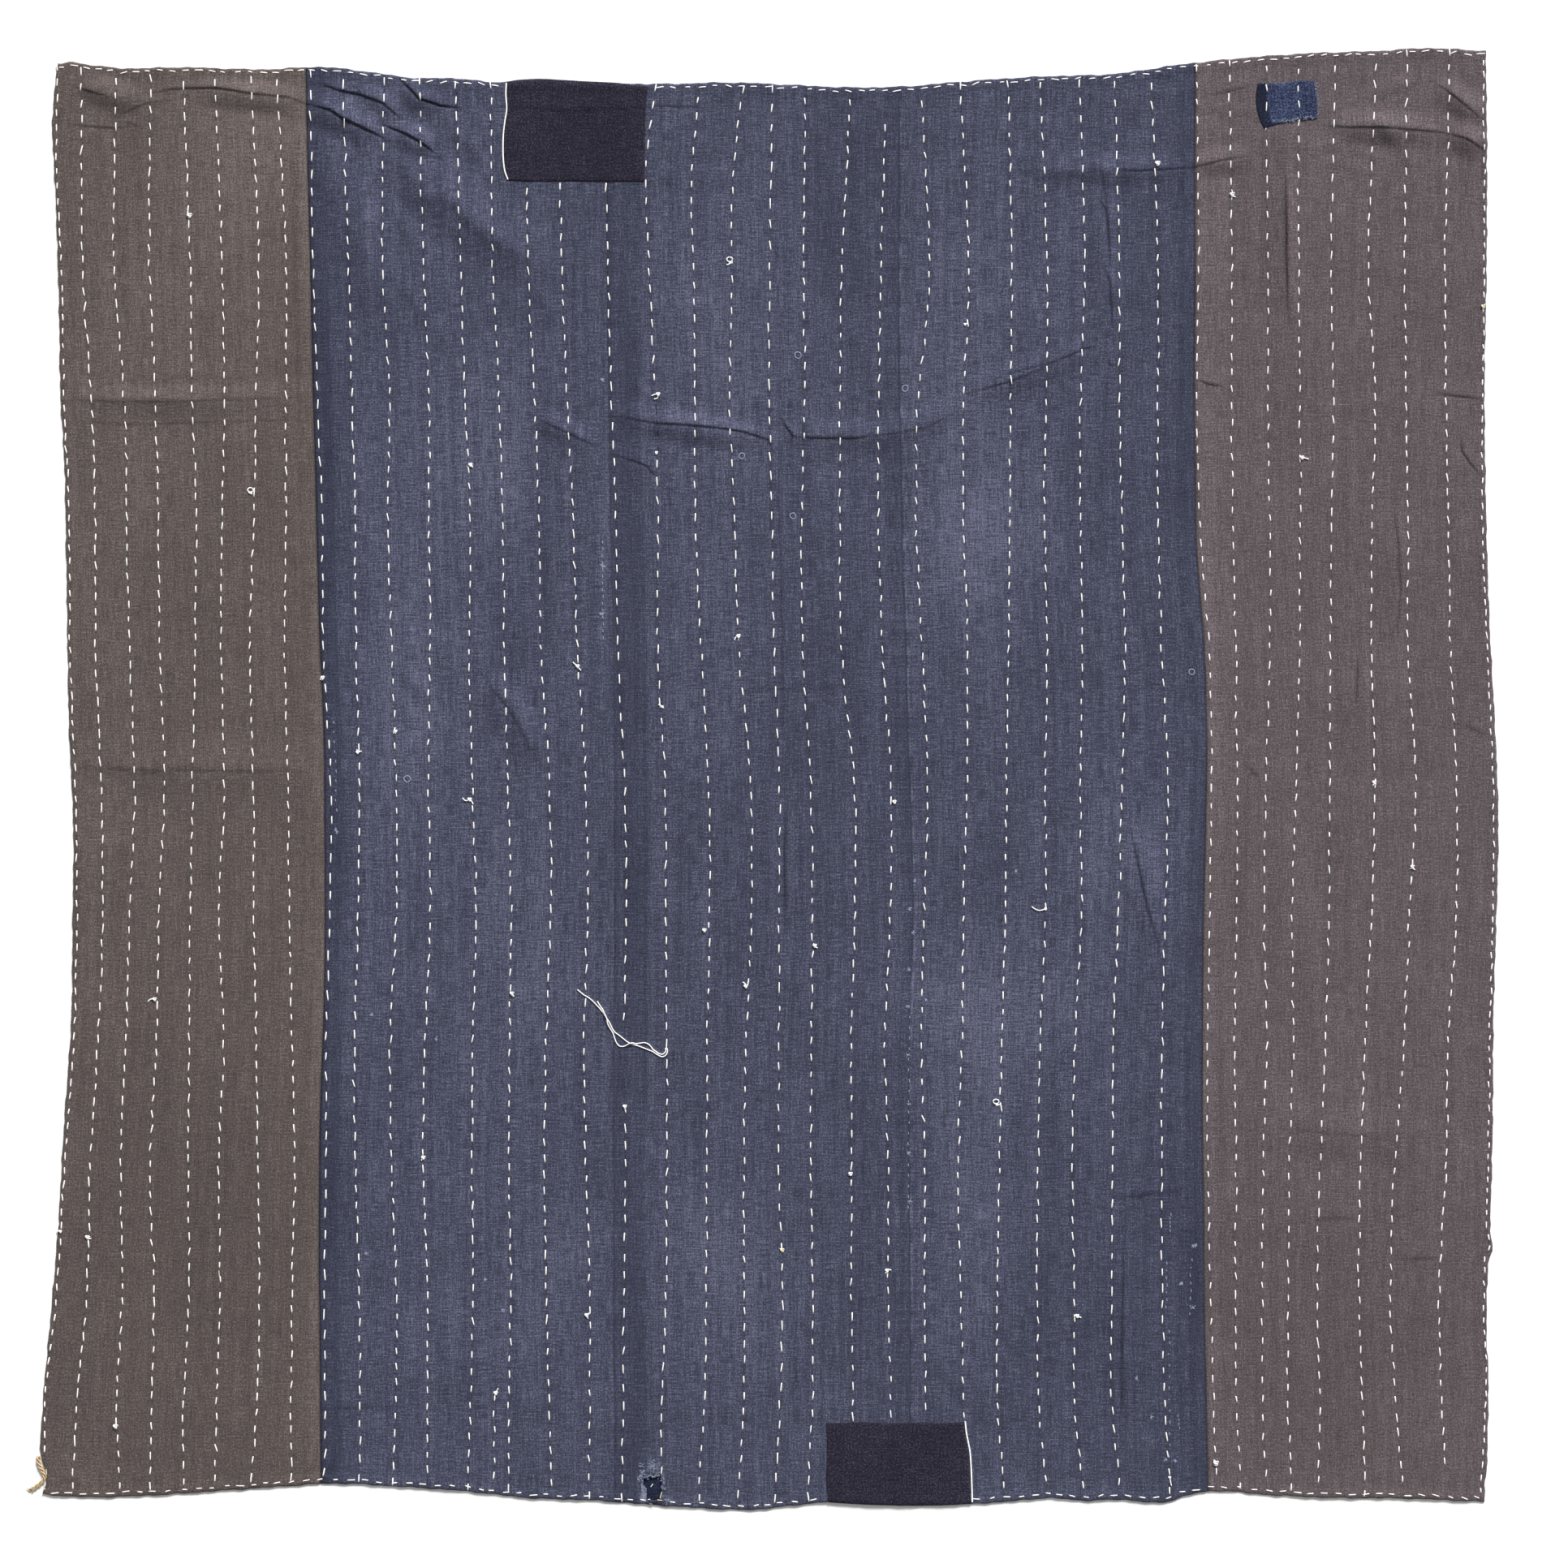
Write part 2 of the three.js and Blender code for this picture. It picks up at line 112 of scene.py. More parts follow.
# Small bumps of the long edges, in millimetres: the height, the size along the edge and the push to the right
edgeBumps = {
    "left": [(770, 55, -5.0), (585, 75, -2.4)],
    "right": [(-540, 11, 5.2), (-688, 35, 1.5)],
}
hems = {
    "topX": [-825, -815, -796, -760, -688, -586, -518, -465, -412, -367, -321, -273, -232, -171, -123,
             -42, 30, 86, 153, 234, 312, 402, 477, 538, 624, 709, 760, 833],
    "topY": [831.5, 834.0, 831.2, 827.0, 827.7, 825.3, 827.7, 822.0, 814.9, 814.9, 810.3, 813.1, 810.9,
             808.5, 808.3, 809.8, 806.9, 804.3, 805.2, 811.8, 816.7, 820.1, 830.6, 837.3, 843.7, 846.8,
             849.8, 846.6],
    "bottomX": [-845, -809, -715, -645, -556, -519, -423, -355, -273, -214, -141, -84, -21, 41, 68, 110, 180,
                272, 327, 366, 408, 464, 482, 518, 570, 644, 735, 828],
    "bottomY": [-831.9, -834.7, -832.8, -828.1, -822.0, -819.6, -823.4, -828.1, -836.6, -838.5, -843.8,
                -847.6, -849.8, -843.2, -840.7, -843.2, -844.6, -840.7, -836.2, -839.2, -838.0, -840.1,
                -833.8, -828.1, -831.9, -835.6, -836.6, -840.4],
}
# Unevenness of a hand-sewn edge: its height, the sizes of its waves in millimetres and where each edge starts
edgeRipple = {"height": 0.32 * mm, "sizes": (2.7, 4.9, 8.6), "side": 1.3, "top": 0.4, "bottom": 2.2}


def ripple(at, edge):
    start = edgeRipple[edge]
    return edgeRipple["height"] * sum(np.sin(at / (size * mm) + start * size) for size in edgeRipple["sizes"])


def edgeBump(name, y):
    return sum(push * mm * np.exp(-((np.asarray(y) / mm - middle) / size) ** 2)
               for middle, size, push in edgeBumps[name])


def lengthwise(name, y):
    x = readSmooth(edges["height"], edges[name], np.asarray(y) / mm) * mm
    return x + edgeBump(name, y) + ripple(y, "side") if name in edgeBumps else x


def topHem(x):
    return readSmooth(hems["topX"], hems["topY"], np.asarray(x) / mm) * mm + ripple(x, "top")


def bottomHem(x):
    return readSmooth(hems["bottomX"], hems["bottomY"], np.asarray(x) / mm) * mm + ripple(x, "bottom")


# Running-stitch lines in photo pixels: x at each of these heights, and the stitches' pitch and length.
# A line may start or end short of a hem, leave a gap, and have one more bend, a height and its x.
lineHeights = [100, 350, 490, 640, 800, 970, 1120, 1280, 1440, 1590, 1750, 1825]
stitchLines = [
    dict(x=[71, 76.5, 79, 85.5, 86.7, 92.8, 95, 91.5, 79.7, 70.8, 54.8, 56], pitch=18, length=9.5,
         bend=(190, 69.8), bottom=1796),
    dict(x=[101, 103, 112.6, 118, 118, 125, 126.6, 121.5, 110.7, 107.5, 93.4, 90], pitch=19, length=11),
    dict(x=[143.5, 142, 153.4, 156.6, 160, 165.8, 160.4, 155.6, 149, 151, 144, 148], pitch=19, length=10.5),
    dict(x=[185.6, 185, 192, 195, 197, 203, 196, 193, 185, 190.4, 186.5, 185], pitch=19, length=10.5),
    dict(x=[226.4, 235, 237, 242, 240.4, 237.6, 234.7, 233.4, 232, 233, 226, 226.4], pitch=19, length=10.5),
    dict(x=[265, 274.6, 276.8, 274, 272.6, 276.8, 270, 275.8, 269.5, 271, 266.3, 265.6], pitch=19, length=10),
    dict(x=[310, 319, 315.7, 312.8, 308, 312.5, 312.8, 315.7, 318, 319.5, 315.7, 309], pitch=19, length=10.5),
    dict(x=[342, 353, 352.4, 352.4, 350.8, 355, 356.5, 360, 363, 360, 358.7, 359.4], pitch=19, length=10),
    dict(x=[382.7, 386.8, 391.6, 397.3, 398.3, 408.2, 406.6, 402.4, 401.8, 400, 400.8, 399.6],
         pitch=24, length=12.5),
    dict(x=[423.5, 430.5, 434, 437.8, 438.8, 443, 441.6, 437, 438, 442.6, 443.6, 442.6], pitch=21, length=11),
    dict(x=[473, 472.6, 480, 478, 483, 488, 488.8, 481, 482.5, 488.8, 487, 484], pitch=20, length=10),
    dict(x=[517.6, 522.7, 528.5, 528.5, 530, 527.8, 530.4, 524, 521.8, 526.6, 527, 527], pitch=20, length=10),
    dict(x=[561.6, 568.6, 573, 579.5, 578.5, 582, 586.5, 582.7, 581.7, 583.3, 579, 576.6],
         pitch=20, length=10),
    dict(x=[604.7, 608, 615, 619, 621.3, 626, 629.6, 628, 627.3, 629.6, 626.7, 626.7], pitch=20, length=10),
    dict(x=[646.8, 651.6, 658.3, 664.3, 666.5, 677, 678.7, 673, 671, 673, 677.4, 680],
         pitch=20, length=10, top=229),
    dict(x=[688, 693, 698.8, 706.4, 711, 722, 724, 719.8, 721.7, 726.5, 726, 726],
         pitch=20, length=10, top=229),
    dict(x=[744, 749.5, 753.3, 758.7, 761.3, 769.5, 771.5, 768.6, 770.5, 769.5, 767.6, 766.4],
         pitch=22.6, length=11, top=229, gap=(1262, 1366)),
    dict(x=[807.8, 801, 806, 810.7, 810, 819.6, 820, 821, 821.5, 821, 815, 815.5], pitch=22, length=11,
         bend=(223, 795.7), gap=(486, 556), bottom=1820),
    dict(x=[862.7, 855, 856, 856.6, 864, 873, 874.5, 871.3, 871.3, 870, 866.8, 861], pitch=20.8, length=10,
         bend=(223, 852.4)),
    dict(x=[916, 901.6, 899, 904.4, 910.5, 924.8, 925.8, 919.4, 916.5, 917, 915.6, 910.5],
         pitch=21, length=10, bend=(223, 902.5)),
    dict(x=[952, 948, 947.5, 951, 953.5, 960.5, 960, 960, 959.3, 964, 960.5, 955], pitch=24, length=11.5),
    dict(x=[992, 990, 991, 987.7, 989, 999, 1000.5, 999.5, 999, 1001, 1000, 995.7], pitch=21, length=10),
    dict(x=[1048.6, 1037, 1034.6, 1035, 1036.5, 1052.5, 1053, 1048.6, 1049, 1048.6, 1051, 1051],
         pitch=21, length=10, bottom=1750),
    dict(x=[1092, 1084.7, 1082, 1082.4, 1087, 1097.8, 1097, 1090.4, 1094, 1094, 1098, 1098],
         pitch=21, length=10, top=157, bottom=1745),
    dict(x=[1134.7, 1145, 1131, 1128.7, 1136, 1142.7, 1138.6, 1135, 1139, 1139, 1141, 1141],
         pitch=21, length=10, bend=(223, 1141), bottom=1748),
    dict(x=[1183, 1193.4, 1187.4, 1187, 1191.5, 1191, 1187, 1185, 1180, 1183.5, 1187, 1187],
         pitch=21, length=10, bottom=1748),
    dict(x=[1241.6, 1246.7, 1245, 1243.8, 1242.5, 1239.7, 1238.7, 1234, 1231, 1228.5, 1230, 1236],
         pitch=19.7, length=10),
    dict(x=[1281, 1290, 1288.4, 1286.5, 1290, 1287.5, 1288, 1281.4, 1278.6, 1277.6, 1281, 1288.4],
         pitch=21, length=10),
    dict(x=[1330, 1336, 1331, 1331, 1333.4, 1330.5, 1332.4, 1324, 1320.7, 1323.5, 1325, 1334],
         pitch=20.5, length=10),
    dict(x=[1373.6, 1378.7, 1379, 1382, 1386, 1382, 1378, 1371.4, 1370.7, 1369.4, 1371, 1378.7],
         pitch=21, length=10.5),
    dict(x=[1418, 1427, 1426.5, 1426, 1431, 1439, 1435.4, 1431.6, 1431, 1432, 1436, 1441],
         pitch=21, length=10.5),
    dict(x=[1474.5, 1476, 1474.5, 1477.6, 1489.4, 1492.6, 1490.4, 1487.5, 1487.8, 1491, 1495.5, 1498.7],
         pitch=23, length=9.5),
    dict(x=[1514, 1517.8, 1517, 1518.8, 1522, 1524, 1523.5, 1520.4, 1523, 1521.6, 1524, 1528],
         pitch=21, length=9.5),
    dict(x=[1560, 1561.7, 1562, 1564, 1564.4, 1559, 1557, 1560, 1556, 1554.8, 1556, 1559.6],
         pitch=23, length=9.5),
    dict(x=[1600, 1599.7, 1601.6, 1601.7, 1600.7, 1596.6, 1591.8, 1593, 1588, 1586.7, 1587, 1590.8],
         pitch=21, length=9.5),
    dict(x=[1644.6, 1639.6, 1642.4, 1640, 1638.7, 1638, 1637.7, 1632.6, 1626, 1622.4, 1626, 1624],
         pitch=22, length=10.5),
    dict(x=[1694, 1686, 1694, 1690, 1689, 1693.5, 1689.7, 1681.7, 1676, 1673.7, 1679, 1681],
         pitch=20, length=10),
    dict(x=[1733, 1730.6, 1731.8, 1734, 1734, 1744, 1736, 1729.5, 1717.7, 1712.6, 1721, 1727.6],
         pitch=20, length=10),
    dict(x=[1785, 1780, 1781, 1784, 1786.6, 1794, 1794, 1783.7, 1781, 1773, 1777, 1781],
         pitch=19, length=10, bottom=1815),
    dict(x=[1827, 1828, 1826, 1826, 1831.6, 1839.5, 1838.6, 1835, 1832.8, 1828.2, 1828.6, 1824.5],
         edge="right", pitch=15, length=8),
]
shortLine = dict(x=[609] * len(lineHeights), pitch=19, length=9, top=1716, bottom=1830)


def linePlace(line, y):
    places, values = list(lineHeights), list(line["x"])
    if "bend" in line:
        places.append(line["bend"][0])
        values.append(line["bend"][1])
    heights = fromPhoto(0, places)[1]
    x = readSmooth(heights, fromPhoto(values, 0)[0], y)
    return x + edgeBump(line["edge"], y) if "edge" in line else x  # the line along the hem goes out with it


# Main wrinkles in millimetres, the same as the solids have: start, middle, end, height, reach
wrinkles = [
    ((-806, 812), (-763, 795), (-724, 785), 4.0, 22), ((-678, 802), (-594, 793), (-540, 787), 3.5, 22),
    ((-547, 788), (-495, 768), (-444, 744), 5.0, 26), ((-477, 797), (-450, 786), (-429, 767), 3.0, 20),
    ((-442, 756), (-406, 741), (-390, 730), 4.0, 22), ((-430, 813), (-409, 789), (-382, 782), 3.5, 20),
    ((-452, 741), (-367, 670), (-272, 595), 4.5, 45), ((-518, 765), (-480, 642), (-442, 510), 3.5, 40),
    ((300, 711), (405, 708), (496, 711), 2.5, 22), ((490, 711), (524, 718), (563, 725), 2.5, 20),
    ((652, 758), (707, 758), (793, 750), 4.0, 24), ((786, 751), (813, 742), (832, 729), 4.0, 24),
    ((775, 809), (802, 788), (830, 765), 3.5, 22), ((599, 705), (600, 610), (603, 527), 2.0, 32),
    ((386, 671), (395, 581), (396, 478), 2.0, 30), ((365, 500), (299, 471), (228, 448), 2.5, 24),
    ((-186, 425), (-87, 407), (-2, 393), 3.5, 22), ((34, 398), (132, 399), (234, 435), 2.5, 22),
    ((-273, 420), (-247, 408), (-201, 387), 2.5, 20), ((-815, 441), (-678, 439), (-534, 443), 2.0, 24),
    ((-811, 15), (-669, 9), (-523, 9), 2.0, 40), ((728, 318), (732, 245), (728, 167), 2.0, 34),
    ((585, -406), (675, -414), (765, -418), 2.0, 40), ((416, -46), (431, -119), (452, -193), 2.0, 36),
    ((413, -515), (409, -626), (409, -747), 2.0, 32), ((-331, 116), (-301, 73), (-273, 25), 2.5, 34),
]
# Sharp creases: the line in photo pixels, the depth of the fold line and the rise beside it in millimetres
creases = [
    dict(line=[(90, 107), (104, 111), (116, 115), (130, 119)], depth=0.5, rise=0.9),
    dict(line=[(90, 154), (118, 157), (140, 158.5), (166, 156)], depth=0.7, rise=0.6),
    dict(line=[(146, 150), (162, 153), (178, 160)], depth=0.5, rise=0.5),
    dict(line=[(152, 141), (166, 134), (184, 127), (204, 125)], depth=0.4, rise=0.7),
    dict(line=[(187, 116), (208, 111), (229, 109.4), (267, 109.4), (290, 113), (315, 117.4), (356, 120.6),
               (380, 129)], depth=0.9, rise=1.2),
    dict(line=[(383, 130), (408, 137), (424, 148), (446, 158), (478, 173)], depth=2.0, rise=2.0),
    dict(line=[(395, 104), (418, 112), (443, 117), (472, 128), (494, 147)], depth=1.6, rise=1.5),
    dict(line=[(472, 154), (500, 166), (518, 176), (537, 190)], depth=2.2, rise=1.8),
    dict(line=[(491, 96), (505, 110), (517, 123), (544, 131), (566, 133)], depth=3.2, rise=1.3),
    dict(line=[(526, 193), (536, 195), (547, 196)], depth=0.9, rise=0.3),
    dict(line=[(470, 171), (476, 175), (480, 175)], depth=0.7, rise=0.2),
    dict(line=[(424, 106), (440, 109), (447, 118)], depth=0.7, rise=0.2),
    dict(line=[(1374, 210), (1400, 211.5), (1432, 209.5), (1471, 207)], depth=1.4, rise=0.5),
    dict(line=[(1468, 207), (1485, 204), (1503, 199), (1536, 193)], depth=1.2, rise=0.5),
    dict(line=[(1628, 155), (1660, 158), (1697, 158), (1754, 162), (1790, 166)], depth=0.8, rise=1.1),
    dict(line=[(1785, 166), (1805, 172), (1831, 187)], depth=0.6, rise=1.2),
    dict(line=[(1769, 103), (1785, 115), (1798, 126), (1829, 151)], depth=0.8, rise=1.1),
    dict(line=[(1740, 110), (1746, 101), (1746, 95)], depth=0.5, rise=0.3),
    dict(line=[(1480, 120), (1520, 112), (1545, 104)], depth=0.3, rise=0.6),
    dict(line=[(1583, 213), (1584, 260), (1584, 314), (1587, 402)], depth=2.2, rise=1.3),
    dict(line=[(1357, 212), (1362, 240), (1364, 262)], depth=1.0, rise=0.3),
    dict(line=[(1356, 248), (1363, 260), (1366, 296), (1368, 332)], depth=2.6, rise=0.6),
    dict(line=[(1362, 332), (1367, 349), (1369, 380), (1370, 405)], depth=2.6, rise=0.6),
    dict(line=[(1366, 443), (1368, 450), (1371, 453)], depth=1.2, rise=0.3),
    dict(line=[(1350, 426), (1334, 431), (1310, 442), (1288, 450)], depth=1.2, rise=0.7),
    dict(line=[(1292, 448), (1262, 456), (1226, 467)], depth=0.8, rise=0.6),
    dict(line=[(1298, 449), (1246, 470), (1192, 486)], depth=0.9, rise=0.7),
    dict(line=[(750, 512), (809, 522), (854, 525), (896, 529), (917, 533), (946, 542), (951, 552)],
         depth=1.2, rise=1.3),
    dict(line=[(962, 516), (969, 527), (977, 538), (972, 548)], depth=1.8, rise=1.0),
    dict(line=[(974, 538), (1000, 540), (1047, 541), (1075, 538)], depth=1.1, rise=1.0),
    dict(line=[(1075, 537), (1100, 535), (1139, 528), (1196, 499)], depth=0.4, rise=0.5),
    dict(line=[(1474, 468), (1490, 474), (1508, 477)], depth=1.3, rise=0.8),
    dict(line=[(1768, 485), (1800, 489), (1829, 492)], depth=1.0, rise=0.7),
    dict(line=[(958, 560), (960, 650), (963, 720), (965, 910)], depth=0.6, rise=0.35),
    dict(line=[(908, 853), (980, 848), (1046, 846)], depth=0.6, rise=0.4),
    dict(line=[(504, 976), (509, 992), (513, 1012)], depth=0.6, rise=0.4),
    dict(line=[(757, 561), (780, 568), (796, 574), (812, 592)], depth=0.8, rise=0.8),
    dict(line=[(659, 515), (687, 528), (712, 540), (735, 550)], depth=0.6, rise=0.9),
    dict(line=[(85, 493), (150, 496), (230, 495), (310, 492), (383, 490)], depth=0.12, rise=0.5),
    dict(line=[(85, 520), (160, 523), (240, 521), (380, 517)], depth=0.1, rise=0.5),
    dict(line=[(89, 944), (159, 949), (277, 950), (395, 950)], depth=0.8, rise=0.6),
    dict(line=[(1717, 623), (1723, 680), (1725, 730), (1720, 783)], depth=1.0, rise=1.1),
    dict(line=[(1673, 805), (1672, 840), (1670, 869)], depth=1.4, rise=1.0),
    dict(line=[(1799, 534), (1801, 556), (1810, 570), (1823, 585)], depth=1.4, rise=1.0),
    dict(line=[(1794, 891), (1812, 897), (1832, 907)], depth=0.8, rise=0.6),
    dict(line=[(1536, 944), (1550, 958)], depth=0.8, rise=0.6),
    dict(line=[(1568, 1390), (1663, 1398), (1759, 1403)], depth=0.5, rise=0.4),
    dict(line=[(1619, 1502), (1650, 1501), (1676, 1501)], depth=1.0, rise=0.5),
    dict(line=[(1717, 1550), (1750, 1551), (1778, 1551)], depth=0.9, rise=0.5),
    dict(line=[(1389, 1008), (1400, 1056), (1413, 1119), (1427, 1164)], depth=1.4, rise=1.0),
    dict(line=[(1386, 1505), (1382, 1623), (1382, 1751)], depth=1.2, rise=0.9),
    dict(line=[(968, 992), (966, 1060), (968, 1139)], depth=1.3, rise=0.8),
    dict(line=[(598, 837), (617, 862), (633, 882), (659, 933)], depth=0.2, rise=0.7),
    dict(line=[(402, 1736), (450, 1734), (500, 1733)], depth=0.7, rise=0.5),
    dict(line=[(1371, 1477), (1415, 1471), (1460, 1467)], depth=1.1, rise=0.8),
    dict(line=[(620, 132), (700, 137), (800, 134)], depth=0.8, rise=0.8),
    dict(line=[(796, 131), (830, 132), (861, 132)], depth=0.9, rise=0.3),
]
# Soft folds: a round ridge on the side of the line towards the light; rise and reach in millimetres
softFolds = [
    dict(line=[(534, 232), (552, 250), (580, 280), (624, 312), (656, 338)], rise=1.7, reach=8),
    dict(line=[(600, 280), (622, 300), (650, 326)], rise=0.7, reach=4),
    dict(line=[(540, 140), (560, 172), (600, 205)], rise=0.9, reach=8),
    dict(line=[(1250, 214), (1310, 216), (1376, 211)], rise=0.8, reach=7),
    dict(line=[(1600, 186), (1660, 188), (1712, 206)], rise=0.7, reach=7),
    dict(line=[(474, 244), (493, 277), (509, 305), (518, 352)], rise=1.3, reach=8),
    dict(line=[(484, 190), (506, 226), (526, 256)], rise=1.4, reach=8),
    dict(line=[(556, 240), (557, 262), (557, 296)], rise=0.8, reach=6),
    dict(line=[(440, 300), (455, 337), (459, 356)], rise=0.9, reach=7),
    dict(line=[(480, 332), (503, 366), (518, 406)], rise=0.9, reach=7),
    dict(line=[(650, 316), (661, 366), (666, 400)], rise=0.9, reach=8),
    dict(line=[(424, 158), (440, 182), (470, 214)], rise=1.1, reach=8),
    dict(line=[(404, 116), (430, 134), (452, 140)], rise=1.0, reach=8),
    dict(line=[(1680, 128), (1716, 112), (1750, 101)], rise=1.0, reach=7),
    dict(line=[(1694, 150), (1710, 172), (1740, 214)], rise=1.2, reach=8),
    dict(line=[(1584, 208), (1583, 260), (1584, 330), (1587, 404)], rise=1.2, reach=6),
    dict(line=[(1808, 68), (1806, 106)], rise=0.7, reach=5),
    dict(line=[(1640, 198), (1668, 212), (1698, 221)], rise=0.8, reach=7),
    dict(line=[(1476, 136), (1512, 140), (1552, 143)], rise=0.8, reach=7),
    dict(line=[(1384, 126), (1430, 121), (1474, 116)], rise=0.8, reach=7),
    dict(line=[(594, 830), (620, 862), (640, 890), (656, 925), (665, 954)], rise=1.4, reach=8),
    dict(line=[(494, 824), (510, 845), (524, 864)], rise=0.9, reach=7),
    dict(line=[(534, 802), (550, 825), (564, 850)], rise=0.8, reach=7),
    dict(line=[(538, 888), (552, 902), (568, 914)], rise=0.7, reach=6),
    dict(line=[(590, 1020), (602, 1042), (618, 1062)], rise=0.7, reach=8),
    dict(line=[(1120, 470), (1180, 452), (1250, 444)], rise=0.8, reach=9),
    dict(line=[(150, 470), (230, 466), (330, 470)], rise=0.7, reach=9),
    dict(line=[(84, 492), (150, 495), (256, 498)], rise=0.7, reach=6),
    dict(line=[(1600, 512), (1690, 506), (1790, 510)], rise=0.6, reach=9),
]
relief = {
    "thickness": 2.0 * mm,
    "underside": 0.5 * mm,  # room for the stitches on the back
    "layers": 1.5 * mm,  # the two layers pressed together
    "puff": 0.48 * mm, "puffReach": 9 * mm,  # the cloth swells between the stitch lines
    "pucker": 0.2 * mm, "puckerReach": 7 * mm,
    "rowPitch": 38 * mm,  # the usual distance between two stitch lines
    "lip": 0.55 * mm, "trough": 1.6 * mm, "riseReach": 10 * mm,
    "wrinkleGain": 1.35, "foldGain": 1.3, "riseGain": 1.3, "troughGain": 0.4,
    "foldMiddle": 0.7,  # a soft fold's top lies off its line by this share of its reach
    "foldEnds": 0.7, "creaseEnds": 0.6,  # smaller values keep the height nearer to both ends
    "seamDip": 0.9 * mm, "seamReach": 3 * mm,
    "allowance": 0.3 * mm, "allowanceReach": 9 * mm, "allowanceLeft": 0.4,  # turned seam edges underneath
    "hemRise": 0.45 * mm, "hemDepth": 11 * mm, "hemStep": 2 * mm, "rim": 2.6 * mm, "rimDrop": 1.0 * mm,
}
# Slow unevenness of the lying cloth: height, size across, size up the length, and seed
undulations = [(0.3 * mm, 0.12, 0.12, 3), (0.16 * mm, 0.09, 0.024, 5), (0.12 * mm, 0.022, 0.03, 8)]


# Distance to a line of points: the nearest distance, the share along the line, and the side
def toLine(x, y, points):
    nearest = np.full(x.shape, 1e9)
    along = np.zeros(x.shape)
    side = np.ones(x.shape)
    spans = len(points) - 1
    for i in range(spans):
        (ax, ay), (bx, by) = points[i], points[i + 1]
        dx, dy = bx - ax, by - ay
        share = np.clip(((x - ax) * dx + (y - ay) * dy) / (dx * dx + dy * dy), 0, 1)
        away = np.hypot(x - ax - share * dx, y - ay - share * dy)
        closer = away < nearest
        nearest = np.where(closer, away, nearest)
        along = np.where(closer, (i + share) / spans, along)
        side = np.where(closer, np.sign(dx * (y - ay) - dy * (x - ax)), side)
    return nearest, along, side


def wrinkleRise(x, y):
    rise = np.zeros(x.shape)
    for start, middle, end, height, reach in wrinkles:
        away, along = toLine(x, y, np.array([start, middle, end]) * mm)[:2]
        share = np.clip(away / (reach * mm), 0, 1)
        rise += height * mm * np.sin(np.pi * along) * (1 - share ** 2) ** 2
    return rise * relief["wrinkleGain"]


# Distance to a crease or fold, above zero on the side towards the light, and the share along it
def lightSide(x, y, path):
    away, along, side = toLine(x, y, path)
    across = (path[-1][0] - path[0][0]) * lightFrom[1] - (path[-1][1] - path[0][1]) * lightFrom[0]
    return away * side * (1 if across > 0 else -1), along


def creasePath(crease):
    return np.stack(fromPhoto(*zip(*crease["line"])), 1)


def foldRise(x, y):
    rise = np.zeros(x.shape)
    for fold in softFolds:
        signed, along = lightSide(x, y, creasePath(fold))
        across = signed / (fold["reach"] * mm) - relief["foldMiddle"]
        rise += fold["rise"] * mm * np.sin(np.pi * along) ** relief["foldEnds"] * np.exp(-across ** 2)
    return rise * relief["foldGain"]


# A crease is a soft ridge on the side towards the light, with a steep lip and a narrow trough below it
def creaseRise(x, y):
    rise = np.zeros(x.shape)
    for crease in creases:
        signed, along = lightSide(x, y, creasePath(crease))
        fade = np.sin(np.pi * np.clip(along, 0.02, 0.98)) ** relief["creaseEnds"]
        lip = 1 / (1 + np.exp(-np.clip(signed / relief["lip"], -30, 30)))
        ridge = crease["rise"] * lip * np.exp(-(np.maximum(signed, 0) / relief["riseReach"]) ** 2)
        trough = crease["depth"] * np.exp(-((signed + relief["lip"]) / relief["trough"]) ** 2)
        rise += mm * fade * (ridge * relief["riseGain"] - trough * relief["troughGain"])
    return rise


def creaseDistance(x, y):
    nearest = np.full(x.shape, 1.0)
    for crease in creases:
        path = creasePath(crease)
        close = np.abs(y - path[:, 1].mean()) < np.ptp(path[:, 1]) / 2 + 0.02
        if close.any():
            nearest[close] = np.minimum(nearest[close], toLine(x[close], y[close], path)[0])
    return nearest


# Soft uneven field between about -1 and 1, made of waves of about the given size
def unevenField(x, y, sizeX, sizeY, seed):
    draw = np.random.RandomState(seed)
    total = np.zeros(x.shape)
    for wave in range(14):
        across, up = draw.normal(0, 1, 2)
        total += np.sin(x * across / sizeX * 3 + y * up / sizeY * 3 + draw.uniform(0, 6.3))
    return total / 4.2


# Distance to the nearest stitch line, and the cloth's drawing in along that line
def nearestLine(x, y):
    away = np.full(x.shape, 1e9)
    pucker = np.zeros(x.shape)
    for number, line in enumerate(stitchLines + [shortLine]):
        gap = np.abs(x - linePlace(line, y))
        closer = gap < away
        pitch = line["pitch"] * photo["pixel"]
        wave = np.cos(2 * np.pi * y / pitch + number * 2.4)
        pucker = np.where(closer, wave, pucker)
        away = np.where(closer, gap, away)
    return away, pucker


# Counts the stitch lines from the left: whole numbers lie on a line
def rowCount(x, y):
    lines = np.stack([linePlace(line, y) for line in stitchLines])
    count = np.zeros(x.shape)
    for first, second in zip(lines, lines[1:]):
        count += np.clip((x - first) / (second - first), 0, 1)
    before = np.clip((lines[0] - x) / relief["rowPitch"], 0, 0.5)
    after = np.clip((x - lines[-1]) / relief["rowPitch"], 0, 0.5)
    return count - (before - after)


# Height of the cloth's face before its edges and seams are shaped
def clothBody(x, y):
    away, pucker = nearestLine(x, y)
    height = relief["thickness"] + wrinkleRise(x, y) + foldRise(x, y) + creaseRise(x, y)
    height += relief["puff"] * (1 - np.exp(-(away / relief["puffReach"]) ** 2))
    height += relief["pucker"] * pucker * np.exp(-(away / relief["puckerReach"]) ** 2)
    for size, across, up, seed in undulations:
        height += size * unevenField(x, y, across, up, seed)
    return height


